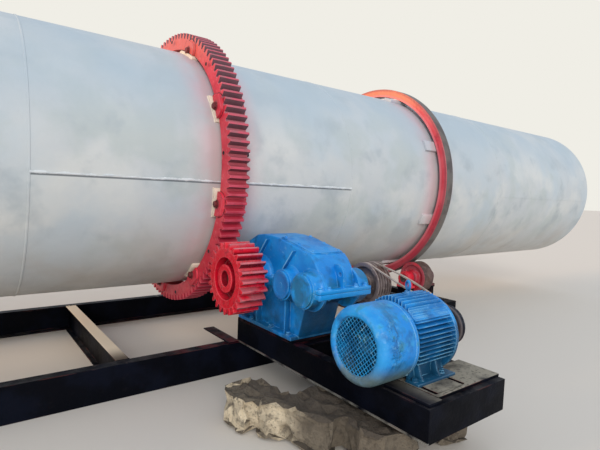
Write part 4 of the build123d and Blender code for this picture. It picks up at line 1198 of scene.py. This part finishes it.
def rail_welds():
    """Short welds that hold the deck plates to the drive frame's rails."""
    mesh = bmesh.new()
    for index in range(9):
        y = DECK[0].y + 0.05 + 0.16 * index
        for x in (RAIL[0].x + 0.004, RAIL[1].x - 0.004):
            bead(mesh, [(x, y + 0.009 * step, RAIL[1].z + 0.001) for step in range(7)], 0.004, 60.0)
    settle(mesh, "rail_welds", BLACK, "frame", slot="frame_paint")


def rail_lips():
    """The drive rail's flange edges, and the plate that closes the deck beside the motor's plates."""
    mesh = bmesh.new()
    low, high = RAIL
    long = (low.y, high.y - 0.05)
    bar(mesh, (low.x - 0.006, low.x + 0.004), long, (low.z, low.z + 0.011), 0.002)
    bar(mesh, (low.x - 0.004, low.x + 0.004), long, (high.z - 0.011, high.z), 0.002)
    plate_x = (low.x + 0.012, MOTOR_BODY[0].x + 0.012)
    bar(mesh, plate_x, (low.y + 0.012, low.y + 0.330), (high.z, DECK[1].z), 0.003)
    settle(mesh, "rail_lips", BLACK, "frame", slot="frame_paint")


def rubble():
    """Broken concrete: the blocks of the frame made rough and chipped, mostly inwards."""
    blocks = nodes["support_blocks"]
    join = blocks.modifiers.new("join", "WELD")
    join.merge_threshold = 0.0005
    wear = blocks.modifiers.new("grain", "REMESH")
    wear.mode = "VOXEL"
    wear.voxel_size = 0.011
    wear.use_smooth_shade = True
    kinds = (("lumps", "CLOUDS", 0.10, 0.060, 0.92), ("chips", "VORONOI", 0.07, 0.022, 0.95))
    for name, kind, size, depth, level in kinds:
        texture = bpy.data.textures.new(name, kind)
        texture.noise_scale = size
        if kind == "VORONOI":
            texture.noise_intensity = 1.1
            texture.weight_1 = 1.0
        worn = blocks.modifiers.new(name, "DISPLACE")
        worn.texture = texture
        worn.strength = depth
        worn.mid_level = level
        worn.texture_coords = "LOCAL"
    facets = blocks.modifiers.new("facets", "DECIMATE")
    facets.ratio = 0.035
    flat = blocks.modifiers.new("broken_edges", "EDGE_SPLIT")
    flat.split_angle = math.radians(16)


# The reducer


def upper_outline():
    """The housing's side outline over the split, as (y, z) points."""
    near, far = WALL_Y
    crown = COVER[1].z - SPLIT_Z
    shape = placed([(0, 0), (0.006, 0.11), (0.022, 0.30), (0.052, 0.47), (0.088, 0.60), (0.130, 0.715)], near)
    shape += placed([(-0.215, 0.965), (-0.13, 0.995), (0, 1.0), (0.10, 0.955)], PINION.y)
    shape += placed([(-0.150, 0.78), (-0.080, 0.60), (-0.035, 0.38), (0, 0.10), (0, 0)], far)
    return [(y, SPLIT_Z + share * crown) for y, share in shape]


def lower_outline():
    """The housing's side outline under the split, as (y, z) points."""
    near, far = WALL_Y
    floor = BASE[0].z
    return [(near, SPLIT_Z), (near + 0.012, SPLIT_Z - 0.03), (near + 0.165, SPLIT_Z - 0.13),
            (near + 0.250, floor), (far - 0.09, floor), (far, SPLIT_Z - 0.12), (far, SPLIT_Z)]


def keep_part(mesh, verts, z, way):
    """Cuts a turned piece level at z, keeps what lies along way and closes the cut."""
    edges = {edge for vert in verts for edge in vert.link_edges}
    faces = {face for vert in verts for face in vert.link_faces}
    cut = bmesh.ops.bisect_plane(mesh, geom=verts + list(edges) + list(faces), dist=0.000001,
                                 plane_co=(0, 0, z), plane_no=(0, 0, way), clear_inner=True)
    rim = [made for made in cut["geom_cut"] if isinstance(made, bmesh.types.BMEdge)]
    bmesh.ops.contextual_create(mesh, geom=rim)


def half_boss(mesh, y, radius, above):
    """A bearing boss on both side walls, flared where it meets the wall, on one side of the split."""
    flare = [(-0.02, 0.03), (-0.02, radius + 0.024), (0, radius + 0.024), (0.007, radius + 0.010),
             (0.020, radius + 0.002), (0.034, radius)]
    rim = [(-0.005, radius), (-0.0015, radius - 0.0015), (0, radius - 0.005), (0, 0.03)]
    for way in (-1, 1):
        outline = placed(flare, WALL_AT[way], way) + placed(rim, BOSS_AT[way], way)
        verts = turn(mesh, outline, y, SPLIT_Z, 56)
        keep_part(mesh, verts, SPLIT_Z + (0.0004 if above else -0.0004), 1 if above else -1)


def split_flange(mesh, above):
    """One of the two bolted flanges round the split, its corners rounded."""
    low, high = (0.0006, 0.026) if above else (-0.036, -0.0006)
    verts = bar(mesh, FLANGE_X, (COVER[0].y, COVER[1].y), (SPLIT_Z + low, SPLIT_Z + high), 0)
    corners = [edge for edge in mesh.edges if edge.verts[0] in verts and edge.verts[1] in verts
               and abs(edge.verts[0].co.z - edge.verts[1].co.z) > 0.01]
    made = bmesh.ops.bevel(mesh, geom=corners, offset=0.020, segments=5, profile=0.5, affect="EDGES",
                           material=-1)
    verts = {vert for vert in verts if vert.is_valid} | set(made["verts"])
    round_edges(mesh, verts, 0.004, 2, 50)


def leaning_rib(mesh, y, low, high, way):
    """A rib over a boss, on one side wall, that leans towards the belts."""
    wall = WALL_AT[way]
    lean = (high - low) * 0.8
    points = [(y - 0.007, SPLIT_Z + low), (y + 0.007, SPLIT_Z + low)]
    points += [(y + 0.007 - lean, SPLIT_Z + high), (y - 0.007 - lean, SPLIT_Z + high)]
    cut_out(mesh, points, sorted((wall - way * 0.002, wall + way * 0.034)), 0.004)


def lifting_lug(mesh, wall, way):
    """A thick plate with a hole, cast on an end wall."""
    low, top = SPLIT_Z + 0.024, SPLIT_Z + 0.186
    outer = wall + way * 0.054
    points = placed([(-0.040, low)], wall, way)
    points += placed([(0, low), (0, top - 0.072), (-0.004, top - 0.048), (-0.018, top - 0.022)], outer, way)
    points += placed([(0.008, top - 0.003), (-0.012, top), (-0.050, top)], wall, way)
    middle = sum(WALL_X) / 2
    hole = (wall + way * 0.017, top - 0.066, 0.015)
    cut_out(mesh, points, (middle - 0.012, middle + 0.012), 0.003, 2, [hole], 40)


def flange_seats():
    """Where the split's bolts stand, as (x, y) places."""
    edge = FLANGE_OUT / 2
    along = (COVER[0].y + edge, PINION.y - 0.213, PINION.y + 0.190, COVER[1].y - edge)
    seats = [(x, y) for x in (FLANGE_X[0] + edge, FLANGE_X[1] - edge) for y in along]
    return seats + [(x, y) for x in (WALL_X[0] + 0.04, WALL_X[1] - 0.04) for y in (along[0], along[3])]


def reducer_upper():
    """The reducer's cover: housing, flange, bosses, ribs, lugs and bolt seats."""
    mesh = bmesh.new()
    cut_out(mesh, upper_outline(), WALL_X, 0.013, 3)
    split_flange(mesh, True)
    for y, radius in BOSSES:
        half_boss(mesh, y, radius, True)
    for way in (-1, 1):
        leaning_rib(mesh, PINION.y + 0.095, 0.080, 0.312, way)
        leaning_rib(mesh, MIDDLE_Y + 0.095, 0.080, 0.259, way)
    lifting_lug(mesh, WALL_Y[0], -1)
    lifting_lug(mesh, WALL_Y[1], 1)
    for x, y in flange_seats():
        peg(mesh, Matrix.Translation((x, y, SPLIT_Z + 0.0275)), 0.023, 0.021, 0.005, 24)
    settle(mesh, "reducer_upper_casting", BLUE, "frame", ["reducer_cover"])


def reducer_lower():
    """The reducer's base: housing, flange, bosses, ribs and a bolted foot."""
    mesh = bmesh.new()
    cut_out(mesh, lower_outline(), WALL_X, 0.012, 3)
    split_flange(mesh, False)
    for y, radius in BOSSES:
        half_boss(mesh, y, radius, False)
    floor = BASE[0].z
    foot = floor + 0.030
    for way in (-1, 1):
        across = sorted((WALL_AT[way] - way * 0.004, WALL_AT[way] + way * 0.050))
        for y in (PINION.y, MIDDLE_Y):
            bar(mesh, across, (y - 0.009, y + 0.009), (floor + 0.028, SPLIT_Z - 0.10), 0.004)
    near = BIG_PULLEY.y + 0.140
    bar(mesh, (FLANGE_X[0] + 0.008, FLANGE_X[1] - 0.008), (near, BASE[1].y - 0.188), (floor, foot), 0.006, 3)
    for x in (FLANGE_X[0] + 0.036, FLANGE_X[1] - 0.036):
        for y in (near + 0.07, PINION.y + 0.08, MIDDLE_Y + 0.19):
            head(mesh, 0.019, 0.020, (x, y, foot), (0, 0, 1), turned=y * 7)
    settle(mesh, "reducer_lower_casting", BLUE, "frame", ["reducer_base"])


def reducer_caps():
    """The bearing covers set in the bosses, with a stepped face."""
    mesh = bmesh.new()
    shafts = {(-1, PINION.y): "output_shaft", (1, BIG_PULLEY.y): "input_shaft"}
    for y, radius in BOSSES:
        for way in (-1, 1):
            edge = radius - 0.012
            shaft = shafts.get((way, y))
            hole = radius_of(shaft) + 0.001 if shaft else 0.012
            steps = [(-0.004, hole), (-0.004, edge), (0.010, edge), (0.0145, edge - 0.0015)]
            steps += [(0.016, edge - 0.006), (0.016, edge * 0.74), (0.0135, edge * 0.70)]
            steps += [(0.012, edge * 0.64), (0.012, hole)]
            turn(mesh, placed(steps, BOSS_AT[way], way), y, SPLIT_Z, 56)
            if not shaft:
                plug = Matrix.Translation((BOSS_AT[way] + way * 0.010, y, SPLIT_Z))
                peg(mesh, plug @ Matrix.Rotation(math.pi / 2, 4, "Y"), 0.020, 0.020, 0.006, 24)
    settle(mesh, "reducer_bearing_caps", BLUE, "frame", ["bearing_caps"])


def reducer_hatch():
    """The sloping inspection cover on its joint, with bolts round the edge."""
    mesh = bmesh.new()
    low, high = (Vector(point) for point in upper_outline()[5:7])
    half = ((high - low).length - 0.016) / 2
    wide = (WALL_X[1] - WALL_X[0]) / 2 - 0.020
    lean = math.atan2(high.y - low.y, high.x - low.x)
    verts = bar(mesh, (-wide, wide), (-half, half), (-0.001, 0.005), 0.002)
    verts += bar(mesh, (-wide + 0.004, wide - 0.004), (-half + 0.004, half - 0.004), (0.005, 0.014), 0.0035)
    for x in (-wide + 0.026, wide - 0.026):
        for y in (-half + 0.026, 0, half - 0.026):
            verts += head(mesh, 0.0105, 0.009, (x, y, 0.014), (0, 0, 1), turned=x * 9 + y * 5)
    place = Matrix.Translation((sum(WALL_X) / 2, *((low + high) / 2)))
    carry(mesh, verts, place @ Matrix.Rotation(lean, 4, "X"))
    settle(mesh, "reducer_hatch", BLUE, "frame", ["inspection_cover"])


def reducer_bolts():
    """The bolts of the split, with a head on each side."""
    mesh = bmesh.new()
    for index, (x, y) in enumerate(flange_seats()):
        head(mesh, 0.0145, 0.016, (x, y, SPLIT_Z + 0.030), (0, 0, 1), turned=index * 0.9)
        head(mesh, 0.0145, 0.014, (x, y, SPLIT_Z - 0.036), (0, 0, -1), turned=index * 1.3)
    settle(mesh, "reducer_split_bolts", BLUE, "frame", ["housing_bolts"])


# The motor


def fin_reach(lean):
    """How far the fins reach at an angle from the top."""
    return 0.240 + 0.022 * max(0.0, math.cos(2 * lean)) * (1 if abs(lean) < math.pi / 4 else 0)


def motor_core(mesh):
    """The housing's round core between its two ends, cut level over the seats."""
    x0, x1 = BODY_X
    outline = placed([(-0.006, 0.05), (-0.006, FAN_R - 0.006), (0.012, FAN_R - 0.005), (0.016, FAN_R - 0.012),
                      (0.016, CORE_R)], x0)
    outline += placed([(-0.026, CORE_R), (-0.026, END_R - 0.004), (-0.022, END_R), (-0.004, END_R),
                       (0, END_R - 0.004), (0, 0.05)], x1)
    keep_part(mesh, turn(mesh, outline, MOTOR.y, MOTOR.z, 96), SEAT_Z + 0.004, 1)


def motor_fins(mesh, span):
    """Level fins on the sides, upright ones on top, and a ridge on each shoulder."""
    y, z = MOTOR.y, MOTOR.z
    half = 0.0032
    for index in range(12):
        up = -0.095 + FIN_PITCH * index
        reach = min(FIN_SIDE, math.sqrt(fin_reach(math.atan2(FIN_SIDE, up)) ** 2 - up ** 2))
        root = math.sqrt(max(0.0, CORE_R ** 2 - up ** 2)) - 0.02
        for hand in (-1, 1):
            across = sorted((y + hand * max(root, 0.06), y + hand * reach))
            bar(mesh, span, across, (z + up - half, z + up + half), 0.0028)
    for index in range(-6, 7):
        aside = FIN_PITCH * index
        reach = math.sqrt(fin_reach(math.atan2(aside, FIN_SIDE)) ** 2 - aside ** 2)
        root = math.sqrt(CORE_R ** 2 - aside ** 2) - 0.02
        bar(mesh, span, (y + aside - half, y + aside + half), (z + root, z + reach), 0.0028)
    for hand in (1, -1):
        ridge = bar(mesh, span, (y - 0.038, y + 0.038), (z + CORE_R - 0.02, z + 0.238), 0.004)
        outer = sorted((y - hand * 0.040, y - hand * 0.026))
        ridge += bar(mesh, span, outer, (z + CORE_R - 0.01, z + 0.242), 0.003)
        carry(mesh, ridge, about(42 * hand, y, z))


def motor_feet(mesh):
    """Two bolted feet, each on a cheek and two ribs."""
    y, z = MOTOR.y, MOTOR.z
    foot_x = (BODY_X[0] + 0.017, BODY_X[0] + 0.377)
    for hand in (-1, 1):
        edge = y + hand * 0.233
        inner = y + hand * 0.133
        bar(mesh, foot_x, sorted((edge, inner)), (SEAT_Z, SEAT_Z + 0.022), 0.006, 3)
        cheek = placed([(-0.010, SEAT_Z + 0.004), (0.022, SEAT_Z + 0.004), (0.010, z - 0.16),
                        (0.022, z - 0.10), (-0.030, z - 0.10)], inner, hand)
        cut_out(mesh, cheek, (foot_x[0] + 0.018, BODY_X[1] - 0.004), 0.006)
        rib = placed([(0, SEAT_Z + 0.010), (0.084, SEAT_Z + 0.016), (0.060, SEAT_Z + 0.050),
                      (0.035, z - 0.105), (0, z - 0.105)], inner, hand)
        for x in (foot_x[0] + 0.062, foot_x[1] - 0.138):
            cut_out(mesh, rib, (x, x + 0.017), 0.005)
        for hole in (0.024, 0.280):
            place = (foot_x[0] + hole, edge - hand * 0.05, SEAT_Z + 0.022)
            head(mesh, 0.017, 0.018, place, (0, 0, 1), turned=hole * 5)


def motor_housing():
    """The finned body on its feet, with a block under the lifting eye."""
    mesh = bmesh.new()
    motor_core(mesh)
    motor_fins(mesh, (BODY_X[0] + 0.014, BODY_X[1] - 0.024))
    motor_feet(mesh)
    middle = (EYE[0].x + EYE[1].x) / 2
    block = (MOTOR.z + CORE_R - 0.01, EYE[0].z)
    bar(mesh, (middle - 0.026, middle + 0.026), (MOTOR.y - 0.026, MOTOR.y + 0.026), block, 0.006, 3)
    settle(mesh, "motor_housing", MOTOR_BLUE, "frame", ["motor_body"])


def fan_hood():
    """The rounded sheet hood over the fan, with its pressed edge and screws."""
    mesh = bmesh.new()
    f0, f1 = FAN[0].x, FAN[1].x
    inner = FAN_R - 0.003
    skin = inner - 0.001
    mouth = [(0.0125, GRILLE_R - 0.001), (0.010, GRILLE_R), (0.004, GRILLE_R + 0.006),
             (0.001, GRILLE_R + 0.012)]
    for index in range(9):
        angle = math.radians(11.25 * (8 - index))
        mouth.append((HOOD_DEPTH * (1 - math.sin(angle)), FAN_R - HOOD_FALL * (1 - math.cos(angle))))
    back = [(-0.026, FAN_R), (-0.024, FAN_R - 0.0016), (-0.020, FAN_R - 0.0016), (-0.018, FAN_R)]
    back += [(0, FAN_R), (0, skin)]
    lining = []
    for index in range(5):
        angle = math.radians(22.5 * index)
        reach = HOOD_DEPTH - (HOOD_DEPTH - 0.003) * math.sin(angle)
        lining.append((reach, skin - HOOD_FALL * (1 - math.cos(angle))))
    lining += [(0.006, GRILLE_R + 0.010), (0.014, GRILLE_R - 0.001)]
    turn(mesh, placed(mouth, f0) + placed(back, f1) + placed(lining, f0), MOTOR.y, MOTOR.z, 96)
    seat = FAN_R - 0.001
    for angle in (45, 135, 225, 315):
        way = (0, math.cos(math.radians(angle)), math.sin(math.radians(angle)))
        place = (f1 - 0.011, MOTOR.y + seat * way[1], MOTOR.z + seat * way[2])
        head(mesh, 0.006, 0.005, place, way, washer=False)
    settle(mesh, "fan_hood", HOOD_BLUE, "frame", ["fan_cover"])


def fan_grille():
    """Crossed wires over the fan opening, in two layers."""
    mesh = bmesh.new()
    y, z = MOTOR.y, MOTOR.z
    for depth, lean in ((0.0085, 45), (0.0115, -45)):
        x = (FAN[0].x + depth - 0.0018, FAN[0].x + depth + 0.0018)
        for index in range(-7, 8):
            aside = index * 0.0220
            reach = math.sqrt((GRILLE_R + 0.004) ** 2 - aside ** 2)
            across = (y + aside - 0.0019, y + aside + 0.0019)
            wire = bar(mesh, x, across, (z - reach, z + reach), 0.0012, 1)
            carry(mesh, wire, about(lean, y, z))
    settle(mesh, "fan_grille", GRILLE_BLUE, "frame", slot="blue_paint")


def fan_wheel():
    """The fan behind the grille: a dished plate with eight blades."""
    mesh = bmesh.new()
    mouth, back = FAN[0].x, FAN[1].x - 0.007
    y, z = MOTOR.y, MOTOR.z
    plate = [(0.10, 0.012), (0.10, 0.06), (0.13, 0.075), (0.150, 0.20), (0.156, 0.20), (0.15, 0.026)]
    turn(mesh, placed(plate, mouth) + [(back, 0.026), (back, 0.012)], y, z, 40)
    for index in range(8):
        long = (mouth + 0.08, mouth + 0.150)
        blade = slab(mesh, (y - 0.002, y + 0.002), (z + 0.06, z + 0.19), long, 0.0006, 1)
        carry(mesh, blade, about(45 * index, y, z))
    settle(mesh, "fan_wheel", FAN_BLUE, "motor_rotor", slot="shaft_steel")


def drive_end_shield():
    """The domed end shield with ribs and bolts."""
    mesh = bmesh.new()
    x0, x1 = (corner.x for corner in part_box("motor_end_shield"))
    rim = radius_of("motor_end_shield")
    y, z = MOTOR.y, MOTOR.z
    dome = [(0, 0.032), (0, rim - 0.002), (0.002, rim), (0.013, rim), (0.017, rim - 0.005),
            (0.020, rim - 0.050), (0.026, rim - 0.085)]
    turn(mesh, placed(dome, x0) + [(x1 - 0.004, 0.100), (x1, 0.094), (x1, 0.032)], y, z, 72)
    for index in range(8):
        rib = slab(mesh, (y - 0.005, y + 0.005), (z + 0.09, z + rim - 0.02), (x0 + 0.01, x0 + 0.030), 0.003)
        carry(mesh, rib, about(45 * index + 22.5, y, z))
    out = rim - 0.014
    for index in range(4):
        turned = math.radians(90 * index + 45)
        place = (x0 + 0.014, y + out * math.cos(turned), z + out * math.sin(turned))
        head(mesh, 0.009, 0.009, place, (1, 0, 0))
    settle(mesh, "drive_end_shield", MOTOR_BLUE, "frame", ["motor_end_shield"])


def eye_bolt():
    """The lifting eye: a ring on a stepped collar."""
    mesh = bmesh.new()
    low, high = EYE
    x, y = ((low + high) / 2).xy
    ring = 0.027
    turned = math.radians(EYE_TURN)
    middle_z = high.z - ring - 0.009
    count = 28
    places = []
    for index in range(count):
        angle = 2 * math.pi * index / count
        aside, up = ring * math.cos(angle), ring * math.sin(angle)
        places.append((x + aside * math.sin(turned), y + aside * math.cos(turned), middle_z + up))
    pipe_run(mesh, places, [0.0088] * count, 10, closed=True)
    peg(mesh, Matrix.Translation((x, y, low.z + 0.006)), 0.022, 0.018, 0.012, 28)
    peg(mesh, Matrix.Translation((x, y, low.z + 0.013)), 0.014, 0.009, 0.010, 28)
    settle(mesh, "eye_bolt", MOTOR_BLUE, "frame", ["lifting_eye"], angle=45)


# The stage, the light and the camera


def pale_stage():
    """A plain pale floor."""
    mesh = bmesh.new()
    bmesh.ops.create_grid(mesh, x_segments=1, y_segments=1, size=160)
    data = bpy.data.meshes.new("floor")
    mesh.to_mesh(data)
    mesh.free()
    floor = bpy.data.objects.new("floor", data)
    bpy.context.scene.collection.objects.link(floor)
    material = bpy.data.materials.new("pale_floor")
    material.use_nodes = True
    shader = material.node_tree.nodes["Principled BSDF"]
    shader.inputs["Base Color"].default_value = shade(214, 208, 200)
    shader.inputs["Roughness"].default_value = 0.9
    data.materials.append(material)


def sky_light():
    """Soft light from a pale sky, with a lighter backdrop where the camera sees it."""
    world = bpy.data.worlds.new("sky")
    bpy.context.scene.world = world
    world.use_nodes = True
    tree = world.node_tree
    sky = tree.nodes["Background"]
    sky.inputs["Color"].default_value = shade(234, 242, 252)
    sky.inputs["Strength"].default_value = 0.80
    backdrop = tree.nodes.new("ShaderNodeBackground")
    backdrop.inputs["Color"].default_value = shade(240, 238, 230)
    backdrop.inputs["Strength"].default_value = 1.0
    path = tree.nodes.new("ShaderNodeLightPath")
    mix = tree.nodes.new("ShaderNodeMixShader")
    tree.links.new(path.outputs["Is Camera Ray"], mix.inputs[0])
    tree.links.new(sky.outputs[0], mix.inputs[1])
    tree.links.new(backdrop.outputs[0], mix.inputs[2])
    tree.links.new(mix.outputs[0], tree.nodes["World Output"].inputs[0])


def sun_light(name, energy, wide, colour, way):
    """A soft sun, wide degrees across, that shines from along way."""
    sun = bpy.data.lights.new(name, "SUN")
    sun.energy = energy
    sun.angle = math.radians(wide)
    sun.color = colour
    lamp = bpy.data.objects.new(name, sun)
    lamp.rotation_euler = Vector(way).to_track_quat("Z", "Y").to_euler()
    bpy.context.scene.collection.objects.link(lamp)


def photo_camera(place, yaw, pitch, roll, focal):
    """The camera at the photo's place, its angles in degrees and its focal length in mm."""
    lens = bpy.data.cameras.new("camera")
    lens.sensor_width = 36
    lens.lens = focal
    lens.clip_end = 400
    camera = bpy.data.objects.new("camera", lens)
    yaw, pitch, roll = (math.radians(value) for value in (yaw, pitch, roll))
    ahead = Vector((math.sin(yaw) * math.cos(pitch), math.cos(yaw) * math.cos(pitch), math.sin(pitch)))
    right = Vector((math.cos(yaw), -math.sin(yaw), 0))
    up = right.cross(ahead)
    across = right * math.cos(roll) + up * math.sin(roll)
    upward = up * math.cos(roll) - right * math.sin(roll)
    look = Matrix((across, upward, -ahead)).transposed().to_4x4()
    camera.matrix_world = Matrix.Translation(place) @ look
    bpy.context.scene.collection.objects.link(camera)
    bpy.context.scene.camera = camera


# All the pieces

reducer_upper()
reducer_lower()
reducer_caps()
reducer_hatch()
reducer_bolts()
motor_housing()
fan_hood()
fan_grille()
fan_wheel()
drive_end_shield()
eye_bolt()
long_weld()
for number, joint in enumerate(JOINTS):
    ring_weld(f"ring_weld_{number}", joint)
gear_seats()
gear_fasteners()
gear_holes()
split_bolts()
ring_pads("right")
ring_pads("left")
pinion_wheel()
output_shaft_end()
for end in ("right", "left"):
    for side in ("near", "far"):
        roller_wheel(end, side)
    bearing_trim(end)
pulley_wheel("big_pulley", "input_pulley", "input_shaft", "input_set", 0.070, PULLEY_IRON)
pulley_wheel("small_pulley", "motor_pulley", "motor_shaft", "motor_rotor", 0.060, PULLEY_DARK)
belts()
frame_welds()
rail_welds()
rail_lips()
rubble()
soften("girth_gear", 0.0022, 34)
for name in ("riding_ring_right", "riding_ring_left", "main_beam_near", "main_beam_far", "cross_members",
             "drive_frame", "drive_plates", "roller_bearings_right", "roller_bearings_left",
             "roller_stands_right", "roller_stands_left"):
    soften(name, 0.003)

bpy.context.scene.view_settings.view_transform = "Standard"
pale_stage()
sky_light()
sun_light("near_sun", energy=1.55, wide=34, colour=(1.0, 0.95, 0.88), way=(-0.50, -0.80, 0.42))
sun_light("low_sun", energy=1.7, wide=20, colour=(1.0, 0.62, 0.30), way=(-0.86, 0.34, 0.26))
photo_camera((1.166, -4.385, 1.554), yaw=37.59, pitch=-3.86, roll=2.25, focal=27.31)
